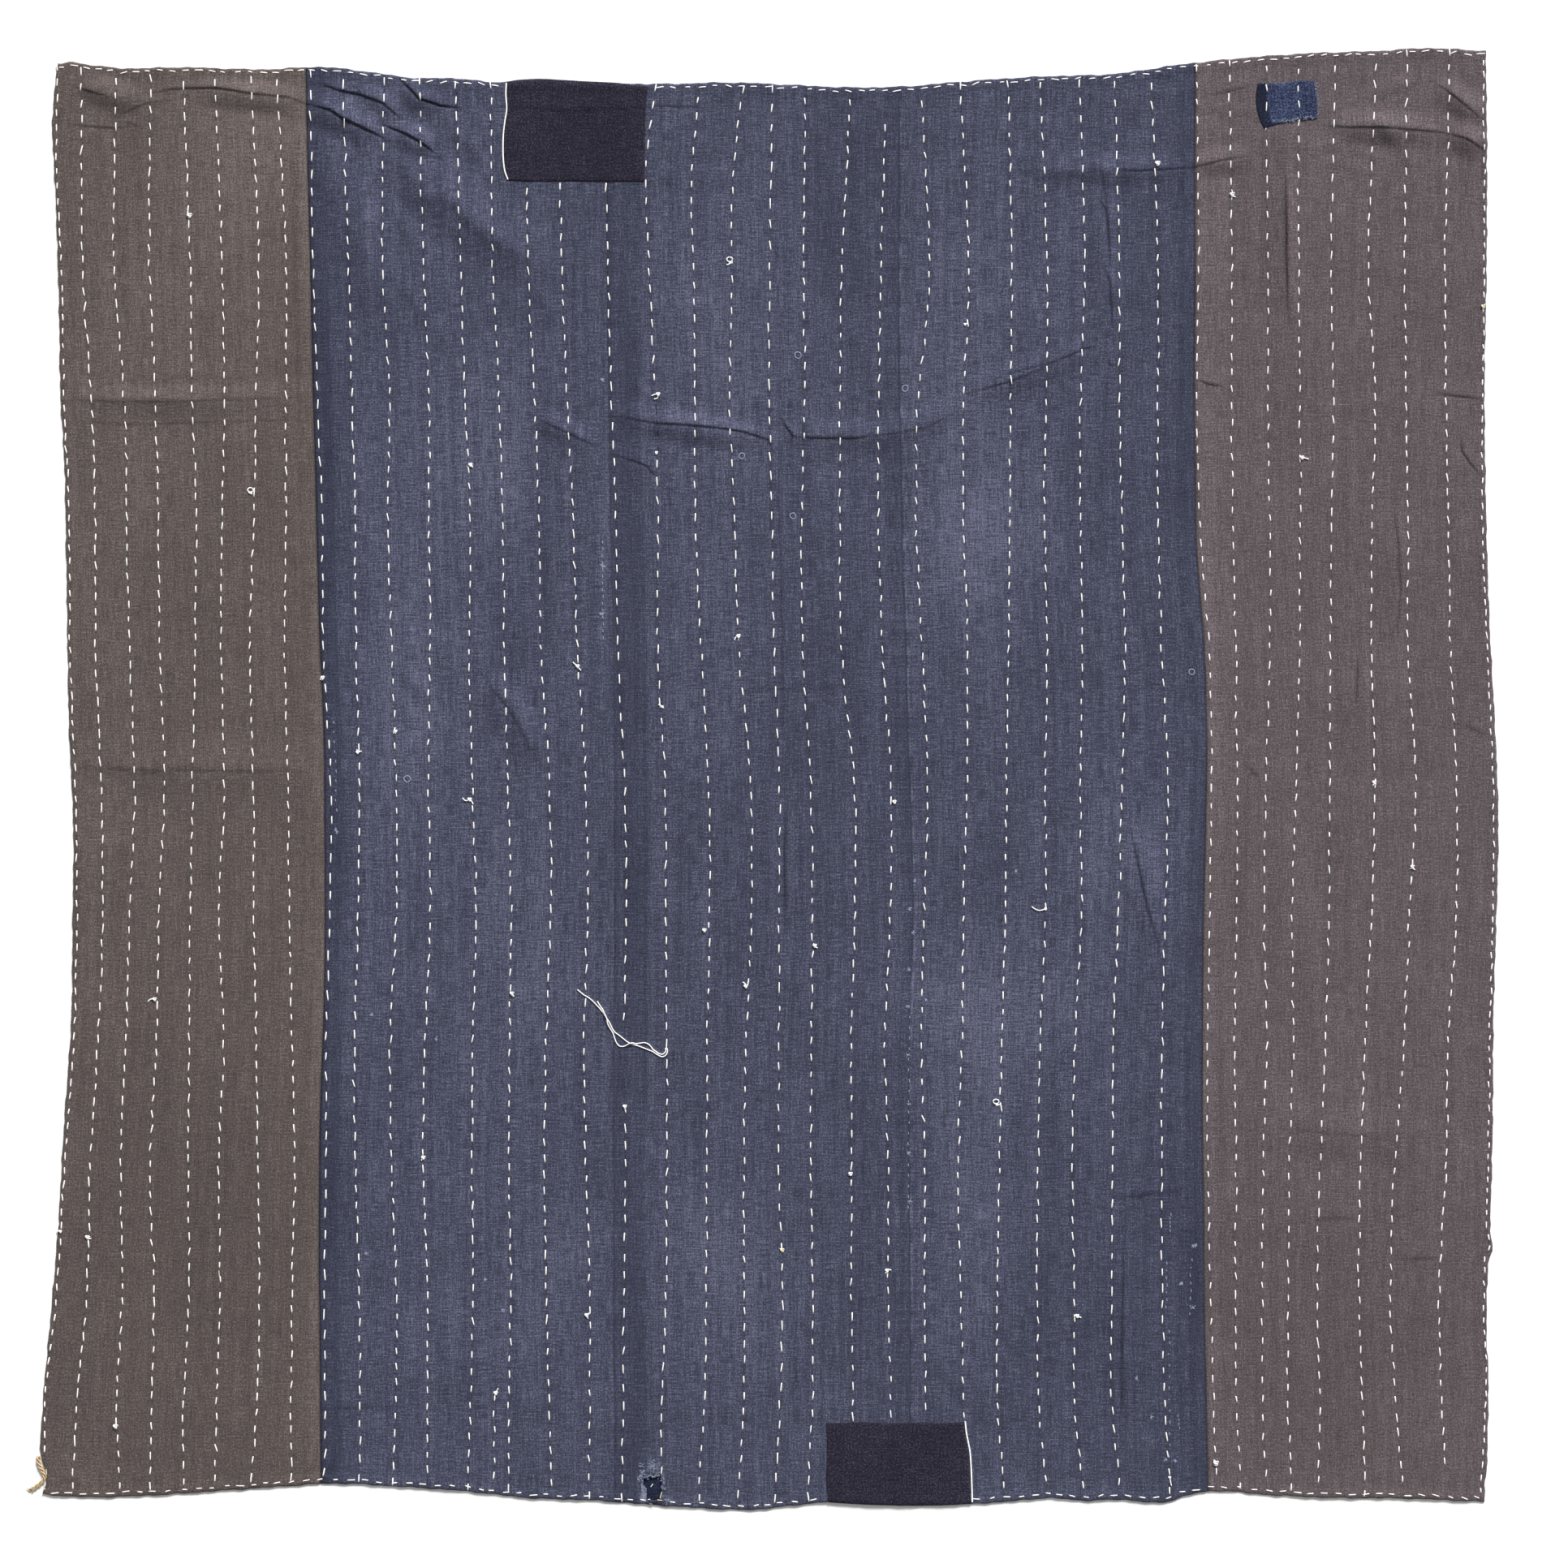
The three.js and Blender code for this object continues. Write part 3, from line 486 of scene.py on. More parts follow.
seamDepths = {"seam1": 0.9, "seam2": 0.15, "seam3": 0.35, "seam4": 0.8}  # how sharply each seam shows


def hemDistance(x, y):
    inside = np.minimum(topHem(x) - y, y - bottomHem(x))
    inside = np.minimum(inside, x - lengthwise("left", y))
    return np.minimum(inside, lengthwise("right", y) - x)


# Height of the cloth's face with seams, turned edges and rims
def clothFace(x, y):
    height = clothBody(x, y)
    for name, depth in seamDepths.items():
        gap = x - lengthwise(name, y)
        near = np.clip(1 - np.abs(gap) / relief["seamReach"], 0, 1)
        height -= relief["seamDip"] * depth * near ** 2
        height += relief["allowance"] * depth * np.where(gap > 0, 1, relief["allowanceLeft"]) * np.clip(
            2 - np.abs(gap) / relief["allowanceReach"] * 1.6, 0, 1)
    inside = hemDistance(x, y)
    height += relief["hemRise"] * np.clip((relief["hemDepth"] - inside) / relief["hemStep"], 0, 1)
    height -= relief["rimDrop"] * np.clip(1 - inside / relief["rim"], 0, 1) ** 2
    return height


def clothUnderside(x, y):
    return np.maximum(relief["underside"], clothBody(x, y) - relief["layers"])


# Materials
def fromHex(code):
    parts = [int(code[i:i + 2], 16) / 255 for i in (1, 3, 5)]
    return [p / 12.92 if p <= 0.04045 else ((p + 0.055) / 1.055) ** 2.4 for p in parts] + [1.0]


def addNode(tree, kind, values=(), links=(), **settings):
    node = tree.nodes.new(kind)
    for name, value in settings.items():
        setattr(node, name, value)
    for socket, value in dict(values).items():
        node.inputs[socket].default_value = value
    for socket, source in dict(links).items():
        tree.links.new(source, node.inputs[socket])
    return node


def newMaterial(name):
    material = bpy.data.materials.new(name)
    material.use_nodes = True
    material.node_tree.nodes.clear()
    return material, material.node_tree


def finishMaterial(tree, shader):
    addNode(tree, "ShaderNodeOutputMaterial", links={"Surface": shader.outputs[0]})


# Noise stretched over the weave: a streak is as wide and as long as these sizes in metres
def streakNoise(tree, uv, wide, long, detail):
    mapped = addNode(tree, "ShaderNodeMapping", values={"Scale": (1 / wide, 1 / long, 1)},
                     links={"Vector": uv.outputs["UV"]})
    return addNode(tree, "ShaderNodeTexNoise", values={"Scale": 1.0, "Detail": detail, "Roughness": 0.6},
                   links={"Vector": mapped.outputs[0]})


# Hand-woven cotton in plain weave: quite matt, with slub threads that show as fine streaks both ways.
# Real threads lie 0.8 mm apart; the slubs are drawn 1.3 mm wide, as coarse as they need to show.
# The painted shade along the stitch lines reaches the share given last in this table
weave = {"thread": 0.8 * mm, "slubWide": 1.3 * mm, "slubLong": 26 * mm, "grain": 1.7 * mm, "cloud": 70 * mm,
         "stitchLineShade": 0.06}  # the groove is a share of the way to the next stitch line


def wovenCotton(name, look):
    material, tree = newMaterial(name)
    uv = addNode(tree, "ShaderNodeUVMap", uv_map="weave")
    # The fade attribute holds wear and tone, and painted shade in creases and seam dips
    fade = addNode(tree, "ShaderNodeAttribute", attribute_name="fade")
    parts = [
        (streakNoise(tree, uv, weave["slubWide"], weave["slubLong"], 2), look["warp"]),
        (streakNoise(tree, uv, weave["slubLong"] * 0.8, weave["slubWide"], 2), look["weft"]),
        (streakNoise(tree, uv, 7 * mm, 260 * mm, 1), look["bands"]),
        (streakNoise(tree, uv, weave["grain"], weave["grain"] * 1.2, 1), look["grain"]),
        (streakNoise(tree, uv, weave["cloud"], weave["cloud"] * 1.4, 4), look["cloud"]),
    ]
    # The cloth wears along its threads, so the worn places break up into streaks; the painted shade of
    # creases and seams in the same attribute breaks up with them
    streaks = addNode(tree, "ShaderNodeMath", operation="ADD",
                      links={0: parts[0][0].outputs["Fac"], 1: parts[1][0].outputs["Fac"]})
    worn = addNode(tree, "ShaderNodeMath", operation="MULTIPLY",
                   links={0: fade.outputs["Fac"], 1: streaks.outputs[0]})
    # Painted shade: the colour is darkened in a narrow band along each stitch line, where the cloth dips
    # between its puffs
    row = addNode(tree, "ShaderNodeAttribute", attribute_name="row")
    beside = addNode(tree, "ShaderNodeMath", operation="PINGPONG", values={1: 0.5},
                     links={0: row.outputs["Fac"]})
    stitchLineShade = addNode(tree, "ShaderNodeMapRange", interpolation_type="SMOOTHSTEP",
                     values={"From Min": 0.0, "From Max": weave["stitchLineShade"], "To Min": -look["stitchLineShade"],
                             "To Max": 0.0}, links={"Value": beside.outputs[0]})
    darkened = addNode(tree, "ShaderNodeMath", operation="ADD",
                       links={0: worn.outputs[0], 1: stitchLineShade.outputs["Result"]})
    total = addNode(tree, "ShaderNodeMath", values={1: 0.5 - sum(share for part, share in parts) / 2},
                    links={0: darkened.outputs[0]}, operation="ADD")
    for part, share in parts:
        total = addNode(tree, "ShaderNodeMath", values={1: share},
                        links={0: part.outputs["Fac"], 2: total.outputs[0]}, operation="MULTIPLY_ADD")
    ramp = addNode(tree, "ShaderNodeValToRGB", links={"Fac": total.outputs[0]})
    stops = ramp.color_ramp.elements
    stops[0].color, stops[1].color = fromHex(look["dark"]), fromHex(look["light"])
    stops.new(0.5).color = fromHex(look["middle"])
    waves = [addNode(tree, "ShaderNodeTexWave", values={"Scale": 0.314 / weave["thread"], "Distortion": 0.6},
                     links={"Vector": uv.outputs["UV"]}, bands_direction=axis) for axis in ("X", "Y")]
    threads = addNode(tree, "ShaderNodeMath", operation="ADD",
                      links={0: waves[0].outputs["Fac"], 1: waves[1].outputs["Fac"]})
    slubs = addNode(tree, "ShaderNodeMath", operation="ADD",
                    links={0: parts[0][0].outputs["Fac"], 1: parts[1][0].outputs["Fac"]})
    relieved = addNode(tree, "ShaderNodeMath", operation="MULTIPLY_ADD", values={1: 2.0},
                       links={0: slubs.outputs[0], 2: threads.outputs[0]})
    bump = addNode(tree, "ShaderNodeBump", values={"Strength": look["bump"], "Distance": 0.25 * mm},
                   links={"Height": relieved.outputs[0]})
    shader = addNode(tree, "ShaderNodeBsdfPrincipled",
                     values={"Roughness": 0.92, "IOR": 1.47, "Specular IOR Level": 0.12,
                             "Sheen Weight": 0.04, "Sheen Roughness": 0.6},
                     links={"Base Color": ramp.outputs["Color"], "Normal": bump.outputs["Normal"]})
    finishMaterial(tree, shader)
    return material


# Cotton thread or yarn: off-white and matt, each stitch a little lighter or creamier by its shade value
def spunThread(name, light, dark, bumpSize):
    material, tree = newMaterial(name)
    shade = addNode(tree, "ShaderNodeAttribute", attribute_name="shade")
    place = addNode(tree, "ShaderNodeTexCoord")
    fibres = addNode(tree, "ShaderNodeTexNoise", values={"Scale": 1 / bumpSize, "Detail": 2.0},
                     links={"Vector": place.outputs["Object"]})
    mixed = addNode(tree, "ShaderNodeMath", values={1: 0.5}, operation="MULTIPLY_ADD",
                    links={0: fibres.outputs["Fac"], 2: shade.outputs["Fac"]})
    ramp = addNode(tree, "ShaderNodeValToRGB", links={"Fac": mixed.outputs[0]})
    ramp.color_ramp.elements[0].color = fromHex(light)
    ramp.color_ramp.elements[1].color = fromHex(dark)
    bump = addNode(tree, "ShaderNodeBump", values={"Strength": 0.4, "Distance": 0.1 * mm},
                   links={"Height": fibres.outputs["Fac"]})
    shader = addNode(tree, "ShaderNodeBsdfPrincipled",
                     values={"Roughness": 0.8, "IOR": 1.5, "Specular IOR Level": 0.3, "Sheen Weight": 0.15},
                     links={"Base Color": ramp.outputs["Color"], "Normal": bump.outputs["Normal"]})
    finishMaterial(tree, shader)
    return material


# Faded brown cotton, coarse and earthy; indigo cotton worn paler along its threads; near-black patch cotton
# that keeps its dye; denim-blue and navy patch cotton
# In each look, one value gives the painted shade along the stitch lines; the dark patch has none
brownLook = dict(dark="#332c2b", middle="#554c4a", light="#7e7370",
                 warp=0.75, weft=0.6, bands=0.25, grain=1.35, cloud=0.2, stitchLineShade=0.06, bump=0.6)
indigoLook = dict(dark="#1e202f", middle="#3d4052", light="#6f7187",
                  warp=0.8, weft=0.85, bands=0.3, grain=1.2, cloud=0.22, stitchLineShade=0.06, bump=0.6)
darkLook = dict(dark="#0d0b16", middle="#201d2b", light="#484555",
                warp=0.6, weft=0.7, bands=0.1, grain=1.7, cloud=0.25, stitchLineShade=0.0, bump=0.6)
materials = {
    "brownLeft": wovenCotton("fadedBrownCottonLeft", brownLook),
    "brownRight": wovenCotton("fadedBrownCottonRight", dict(
        brownLook, dark="#342d2f", middle="#574e51", light="#82777b")),
    "indigo": wovenCotton("wornIndigoCotton", indigoLook),
    "darkPatch": wovenCotton("darkIndigoPatchCotton", darkLook),
    "bluePatch": wovenCotton("bluePatchCotton", dict(
        darkLook, dark="#0f1320", middle="#252c46", light="#586487", weft=0.8, cloud=0.6)),
    "mend": wovenCotton("navyMendingCotton", dict(
        darkLook, dark="#0b0d18", middle="#161b30", light="#2f3654")),
    "white": spunThread("whiteCottonThread", "#ffffff", "#f4ece0", 0.5 * mm),
    "tan": spunThread("tanCottonYarn", "#c4ab85", "#8a6f4c", 0.7 * mm),
    "rust": spunThread("rustBrownThread", "#6e4436", "#4a2a22", 0.5 * mm),
    "lint": spunThread("paleCottonLint", "#98a2b8", "#6f7a94", 0.5 * mm),
    "cream": spunThread("creamCottonThread", "#efe6c8", "#cdb98a", 0.5 * mm),
}
print("materials made")


def showMesh(mesh, name, material):
    piece = bpy.data.objects.new(name, mesh)
    bpy.context.scene.collection.objects.link(piece)
    mesh.materials.clear()
    mesh.materials.append(material)
    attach(piece, "root")
    return piece


# Cords first: two white strands of one loose thread, and a yarn tail at the corner.
# Their routes are in millimetres, with the lift of each point over the cloth.
longRoute = [
    (-119.8, -312.7, 0), (-119.0, -316.0, 0), (-119.8, -319.3, 0), (-122.2, -322.1, 0), (-125.6, -322.9, 0),
    (-129.3, -321.4, 0), (-133.1, -318.9, 0), (-136.9, -316.6, 0), (-142.1, -314.5, 0), (-147.7, -312.3, 0),
    (-153.9, -310.0, 0), (-159.5, -308.5, 0), (-164.7, -306.2, 0), (-169.9, -302.3, 0), (-175.1, -298.1, 0),
    (-180.2, -294.3, 0), (-183.2, -289.8, 0), (-186.6, -283.0, 0), (-191.2, -275.8, 0), (-196.1, -268.7, 0),
    (-203.4, -260.7, 0), (-210.0, -254.7, 0), (-216.5, -250.9, 0), (-223.6, -244.9, 0),
]
loopedRoute = [
    (-121.5, -313.0, 0), (-121.0, -316.1, 0), (-122.4, -318.4, 0), (-125.1, -320.0, 0), (-128.9, -319.2, 0),
    (-132.2, -316.8, 0), (-135.8, -314.4, 0), (-137.9, -311.3, 0), (-141.5, -308.1, 0), (-146.0, -306.6, 0),
    (-151.1, -307.2, 0), (-155.3, -307.7, 0.3), (-159.0, -306.9, 1.0), (-162.3, -307.2, 1.8),
    (-165.1, -308.5, 1.0), (-167.9, -310.2, 0.2), (-171.5, -311.1, 0), (-175.3, -310.2, 0),
    (-178.3, -306.6, 0), (-180.6, -301.1, 0), (-182.1, -296.0, 0), (-185.1, -290.9, 0.2),
    (-188.5, -284.4, 1.1), (-189.4, -278.6, 1.8), (-192.4, -272.2, 1.3), (-194.4, -267.4, 0.3),
    (-196.4, -265.1, 0), (-200.7, -258.1, 0),
]
yarnRoute = [
    (-850.0, -787.3, 0), (-850.3, -790.5, 0), (-850.1, -793.6, 0), (-849.3, -796.9, 0), (-848.1, -800.2, 0),
    (-846.3, -803.2, 0), (-844.7, -805.9, 0), (-843.6, -808.7, 0), (-843.2, -811.6, 0), (-844.1, -814.6, 0),
    (-846.4, -817.4, 0), (-849.3, -820.1, 0), (-852.4, -822.3, 0), (-855.4, -824.4, 0), (-857.8, -826.5, 0),
]
strands = {"diameter": 1.2 * mm, "yarn": 3.6 * mm, "yarnRest": 1.75 * mm, "twist": 17 * mm,
           "ply": 0.85 * mm, "plySpread": 1.8 * mm, "plyRise": 0.7 * mm}


def newCurve(name, depth, sides):
    curve = bpy.data.curves.new(name, "CURVE")
    curve.dimensions = "3D"
    curve.bevel_depth = depth
    curve.bevel_resolution = sides
    curve.use_fill_caps = True
    return curve


def addSpline(curve, path, closed=False):
    spline = curve.splines.new("POLY")
    spline.points.add(len(path) - 1)
    for point, place in zip(spline.points, path):
        point.co = (*place, 1)
    spline.use_cyclic_u = closed
    spline.use_smooth = True


def curveMesh(curve, name):
    holder = bpy.data.objects.new(name + "Line", curve)
    bpy.context.scene.collection.objects.link(holder)
    shown = holder.evaluated_get(bpy.context.evaluated_depsgraph_get())
    mesh = bpy.data.meshes.new_from_object(shown)
    mesh.name = name
    bpy.data.objects.remove(holder)
    return mesh


# A strand lies on the cloth's face, a radius over it
def strandPath(route):
    route = np.array(route) * mm
    lift = clothFace(route[:, 0], route[:, 1]) + strands["diameter"] / 2 + 0.05 * mm
    return smoothPath(np.column_stack([route[:, :2], route[:, 2] + lift]), 4)


def looseStrand(name, node, route):
    path = strandPath(route)
    curve = newCurve(name, strands["diameter"] / 2, 2)
    addSpline(curve, path)
    mesh = curveMesh(curve, name)
    piece = showMesh(mesh, name, materials["white"])
    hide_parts(node)


# The yarn is three plies, loosely wound round each other and pressed flat
def cornerYarn():
    route = np.array(yarnRoute) * mm
    path = smoothPath(np.column_stack([route[:, :2], route[:, 2] + strands["yarnRest"]]), 6)
    steps = np.diff(path, axis=0, prepend=path[:1])
    along = np.cumsum(np.linalg.norm(steps, axis=1))
    heading = np.gradient(path, axis=0)
    heading /= np.linalg.norm(heading, axis=1)[:, None]
    sideways = np.cross(heading, (0, 0, 1))
    upwards = np.cross(sideways, heading)
    curve = newCurve("cornerYarn", strands["ply"], 2)
    for start in range(3):
        turn = (along / strands["twist"] * 2 * np.pi + start * 2.1)[:, None]
        spread = strands["plySpread"] * np.cos(turn) * sideways
        addSpline(curve, path + spread + strands["plyRise"] * np.sin(turn) * upwards)
    piece = showMesh(curveMesh(curve, "cornerYarn"), "cornerYarn", materials["tan"])
    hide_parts("corner_yarn")


looseStrand("looseThreadLong", "loose_thread_long", longRoute)
looseStrand("looseThreadLooped", "loose_thread_looped", loopedRoute)
cornerYarn()
print("cords laid")

# Worn and dark places: middle and half size in photo pixels, and how much lighter or darker. The narrow dark
# strip at (672, 660), right of a stitch line, is painted shade in the dip there.
wearAndShadeSpots = [
    dict(at=(500, 840), size=(70, 260), fade=0.12), dict(at=(600, 560), size=(90, 120), fade=0.10),
    dict(at=(430, 1200), size=(40, 160), fade=0.08), dict(at=(640, 1180), size=(80, 200), fade=0.08),
    dict(at=(480, 1640), size=(80, 190), fade=0.05), dict(at=(650, 1560), size=(80, 100), fade=0.06),
    dict(at=(560, 210), size=(120, 90), fade=0.03), dict(at=(950, 1600), size=(80, 150), fade=0.04),
    dict(at=(890, 400), size=(100, 190), fade=0.1),
    dict(at=(880, 780), size=(60, 140), fade=0.06), dict(at=(1050, 260), size=(60, 170), fade=-0.05),
    dict(at=(1000, 900), size=(90, 200), fade=-0.04), dict(at=(1060, 1500), size=(60, 300), fade=-0.04),
    dict(at=(860, 1540), size=(60, 100), fade=0.10), dict(at=(1200, 660), size=(80, 110), fade=0.2),
    dict(at=(1170, 420), size=(60, 120), fade=0.08), dict(at=(1220, 1240), size=(110, 70), fade=0.16),
    dict(at=(1380, 1050), size=(80, 90), fade=0.10), dict(at=(1200, 1480), size=(60, 160), fade=0.12),
    dict(at=(1440, 560), size=(50, 330), fade=-0.03), dict(at=(1450, 1600), size=(50, 260), fade=-0.08),
    dict(at=(1300, 1620), size=(110, 180), fade=-0.05), dict(at=(1230, 300), size=(90, 110), fade=0.06),
    dict(at=(804, 1808), size=(10, 11), fade=0.2), dict(at=(793, 1840), size=(4, 13), fade=0.7),
    dict(at=(806, 1852), size=(9, 4), fade=-0.5), dict(at=(672, 660), size=(5, 110), fade=-0.12),
    dict(at=(744, 650), size=(7, 90), fade=0.12), dict(at=(825, 1848), size=(6, 5), fade=0.15),
    dict(at=(330, 180), size=(90, 90), fade=0.14), dict(at=(210, 340), size=(120, 190), fade=0.07),
    dict(at=(120, 700), size=(60, 300), fade=0.05),
    dict(at=(250, 1500), size=(160, 200), fade=-0.08), dict(at=(220, 1780), size=(160, 60), fade=-0.05),
    dict(at=(1500, 600), size=(26, 400), fade=0.08), dict(at=(1640, 1650), size=(150, 150), fade=-0.06),
    dict(at=(1700, 180), size=(120, 90), fade=0.03), dict(at=(1548, 1600), size=(2.2, 250), fade=-0.12),
    dict(at=(364, 300), size=(2.5, 110), fade=-0.1),
]
# Darker and paler strips beside seams: from one distance to another in millimetres, for the whole height
seamStrips = [
    dict(seam="seam1", start=0, end=21, fade=-0.11), dict(seam="seam2", start=0, end=37, fade=-0.10),
    dict(seam="seam4", start=-18, end=0, fade=-0.08), dict(seam="seam4", start=0, end=16, fade=0.06),
    dict(seam="seam1", start=0, end=42, fade=-0.05),
    dict(seam="seam3", start=-12, end=0, fade=-0.06), dict(seam="seam1", start=-10, end=0, fade=0.05),
]
stripBlend = 3  # millimetres over which a strip begins and ends
# Painted shade: the cloth is painted darker in the dip of each seam; the third seam's right edge is worn pale
seamShadeAndWear = {"depth": 0.45, "reach": 1.3 * mm, "wornEdge": 2.2 * mm, "wornReach": 1.5 * mm, "worn": 0.22}
# Painted shade: the line of a sharp crease is painted darker than the cloth beside it, as the shade in the
# fold
creasePaintedShade = {"reach": 1.1 * mm, "depth": 0.17, "most": 0.45}


# Painted shade along each crease line, strongest on the deepest creases
def paintedCreaseShade(x, y):
    dark = np.zeros(x.shape)
    for crease in creases:
        path = creasePath(crease)
        close = np.abs(y - path[:, 1].mean()) < np.ptp(path[:, 1]) / 2 + 0.01
        if close.any():
            away, along = toLine(x[close], y[close], path)[:2]
            ends = np.sin(np.pi * along) ** relief["creaseEnds"]
            dark[close] += creasePaintedShade["depth"] * crease["depth"] * ends * np.exp(
                -(away / creasePaintedShade["reach"]) ** 2)
    return dark


# How much lighter or darker the cloth is at each point: wear and tone, with painted shade along creases, in
# seam dips and in one narrow strip beside a stitch line
def wearAndShadeAt(x, y):
    fade = np.zeros(x.shape)
    for spot in wearAndShadeSpots:
        spotX, spotY = fromPhoto(*spot["at"])
        across = (x - spotX) / (spot["size"][0] * photo["pixel"])
        up = (y - spotY) / (spot["size"][1] * photo["pixel"])
        fade += spot["fade"] * np.exp(-(across ** 2 + up ** 2))
    for strip in seamStrips:
        gap = (x - lengthwise(strip["seam"], y)) / mm
        begun = np.clip((gap - strip["start"]) / stripBlend + 1, 0, 1)
        inside = begun * np.clip((strip["end"] - gap) / stripBlend + 1, 0, 1)
        sign = (gap > 0) if strip["end"] > 0 else (gap < 0)
        fade += strip["fade"] * inside * sign
    for seam, depth in seamDepths.items():
        gap = x - lengthwise(seam, y)
        # Painted shade in the seam's dip
        fade -= seamShadeAndWear["depth"] * depth * np.exp(-(gap / seamShadeAndWear["reach"]) ** 2)
        if seam == "seam3":
            patchy = np.clip(0.5 + unevenField(x, y, 0.2, 0.02, 21), 0, 1.4)
            edge = np.exp(-((gap - seamShadeAndWear["wornEdge"]) / seamShadeAndWear["wornReach"]) ** 2)
            fade += seamShadeAndWear["worn"] * edge * patchy
    # The painted crease shade is taken off the fade, eased so that it darkens no more than its most
    return fade - creasePaintedShade["most"] * np.tanh(paintedCreaseShade(x, y) / creasePaintedShade["most"])


sheetLayers = ("under", "fade", "row", "weaveU", "weaveV")
creaseRefining = (7 * mm, 3 * mm)  # how near to a crease the grid is made finer, once and twice


# A closed sheet from a flat grid: place puts its points, close rows of points are added beside creases,
# shape gives the heights and tones, then the underside is extruded
def layGrid(name, columns, rows, place, shape, hole=None, creased=False):
    across, up = np.meshgrid(columns, rows)
    x, y = place(across, up)
    wide, tall = len(columns) - 1, len(rows) - 1
    sheet = bmesh.new()
    bmesh.ops.create_grid(sheet, x_segments=wide, y_segments=tall, size=1)
    layers = {key: sheet.verts.layers.float.new(key) for key in sheetLayers}
    for vert in sheet.verts:
        at = (round((vert.co.y + 1) / 2 * tall), round((vert.co.x + 1) / 2 * wide))
        vert.co = (x[at], y[at], 0)
        vert[layers["weaveU"]], vert[layers["weaveV"]] = across[at], up[at]
    if creased:
        for reach in creaseRefining:
            x, y = np.array([vert.co[:2] for vert in sheet.verts]).T
            near = creaseDistance(x, y) < reach
            sheet.verts.index_update()
            chosen = [edge for edge in sheet.edges if near[edge.verts[0].index] and near[edge.verts[1].index]]
            bmesh.ops.subdivide_edges(sheet, edges=chosen, cuts=1, use_grid_fill=True)
    if hole is not None:
        torn = [part for part in sheet.faces if insideOutline(*part.calc_center_median()[:2], hole)]
        bmesh.ops.delete(sheet, geom=torn, context="FACES")
    x, y = np.array([vert.co[:2] for vert in sheet.verts]).T
    u, v = np.array([(vert[layers["weaveU"]], vert[layers["weaveV"]]) for vert in sheet.verts]).T
    values = shape(x, y, u, v)
    for key in sheetLayers:
        for vert, value in zip(sheet.verts, values[key].tolist()):
            vert[layers[key]] = value
    for vert, value in zip(sheet.verts, values["face"].tolist()):
        vert.co.z = value
    made = bmesh.ops.extrude_face_region(sheet, geom=sheet.faces[:], use_keep_orig=True)
    for part in made["geom"]:
        if isinstance(part, bmesh.types.BMVert):
            part.co.z = part[layers["under"]]
    bmesh.ops.recalc_face_normals(sheet, faces=sheet.faces)
    mesh = bpy.data.meshes.new(name)
    sheet.to_mesh(mesh)
    sheet.free()
    mesh.shade_smooth()
    setWeave(mesh)
    return mesh


# The weave map: across the width and up the length, in metres of cloth
def setWeave(mesh):
    weaveMap = mesh.uv_layers.new(name="weave")
    corners = np.zeros(len(mesh.loops), int)
    mesh.loops.foreach_get("vertex_index", corners)
    pairs = []
    for key in ("weaveU", "weaveV"):
        value = np.zeros(len(mesh.vertices))
        mesh.attributes[key].data.foreach_get("value", value)
        pairs.append(value[corners])
    weaveMap.data.foreach_set("uv", np.stack(pairs, 1).ravel())
    for key in ("weaveU", "weaveV", "under"):  # only the map, the fade and the row count stay
        mesh.attributes.remove(mesh.attributes[key])


def insideOutline(x, y, outline):
    inside = False
    for (ax, ay), (bx, by) in zip(outline, outline[1:] + outline[:1]):
        if (ay > y) != (by > y) and x < (bx - ax) * (y - ay) / (by - ay) + ax:
            inside = not inside
    return inside


# Rows up the whole cloth: from and to in millimetres of nominal height, and the step
rowBands = [(-832, -800, 2.6), (-800, 350, 7.5), (350, 480, 4.0), (480, 690, 5.0), (690, 831, 3.2)]
edgeSteps = [0, 0.8, 1.9, 3.4]  # extra points beside hems and seams, in millimetres


def spaced(low, high, step):
    count = max(int(round((high - low) / step)), 1)
    return list(np.linspace(low, high, count + 1)[:-1])


def clothRows():
    rows = []
    for low, high, step in rowBands:
        rows += spaced(low, high, step)
    low, high = edges["lowHem"], edges["highHem"]
    rows = [row for row in rows if low + edgeSteps[-1] + 1 < row < high - edgeSteps[-1] - 1]
    return np.array([low + s for s in edgeSteps] + rows + [high - s for s in reversed(edgeSteps)]) * mm


# The torn place by the bottom hem, in photo pixels
tornPlace = [(790.5, 1823), (792.5, 1828), (795.5, 1833), (797, 1843), (798, 1849), (813, 1849.5),
             (814.5, 1842), (816, 1836), (815, 1827), (814, 1820), (809, 1821.5), (799, 1820.5)]
panels = [
    dict(name="clothBrownLeft", node="brown_panel_left", left="left", right="seam1",
         material="brownLeft", slot="brown_cotton"),
    dict(name="clothIndigoLeft", node="indigo_panel_left", left="seam1", right="seam2",
         material="indigo", slot="indigo_cotton"),
    dict(name="clothIndigoMiddle", node="indigo_panel_middle", left="seam2", right="seam3",
         material="indigo", slot="indigo_cotton", torn=tornPlace, fine=(0.08, 0.19)),
    dict(name="clothIndigoRight", node="indigo_panel_right", left="seam3", right="seam4",
         material="indigo", slot="indigo_cotton"),
    dict(name="clothBrownRight", node="brown_panel_right", left="seam4", right="right",
         material="brownRight", slot="brown_cotton"),
]
# Millimetres between the points across a width, in the fine stretch round the torn place, and from an edge
# to the first of them
columnSpacing = {"step": 4.8, "fineStep": 2, "first": 5.5}


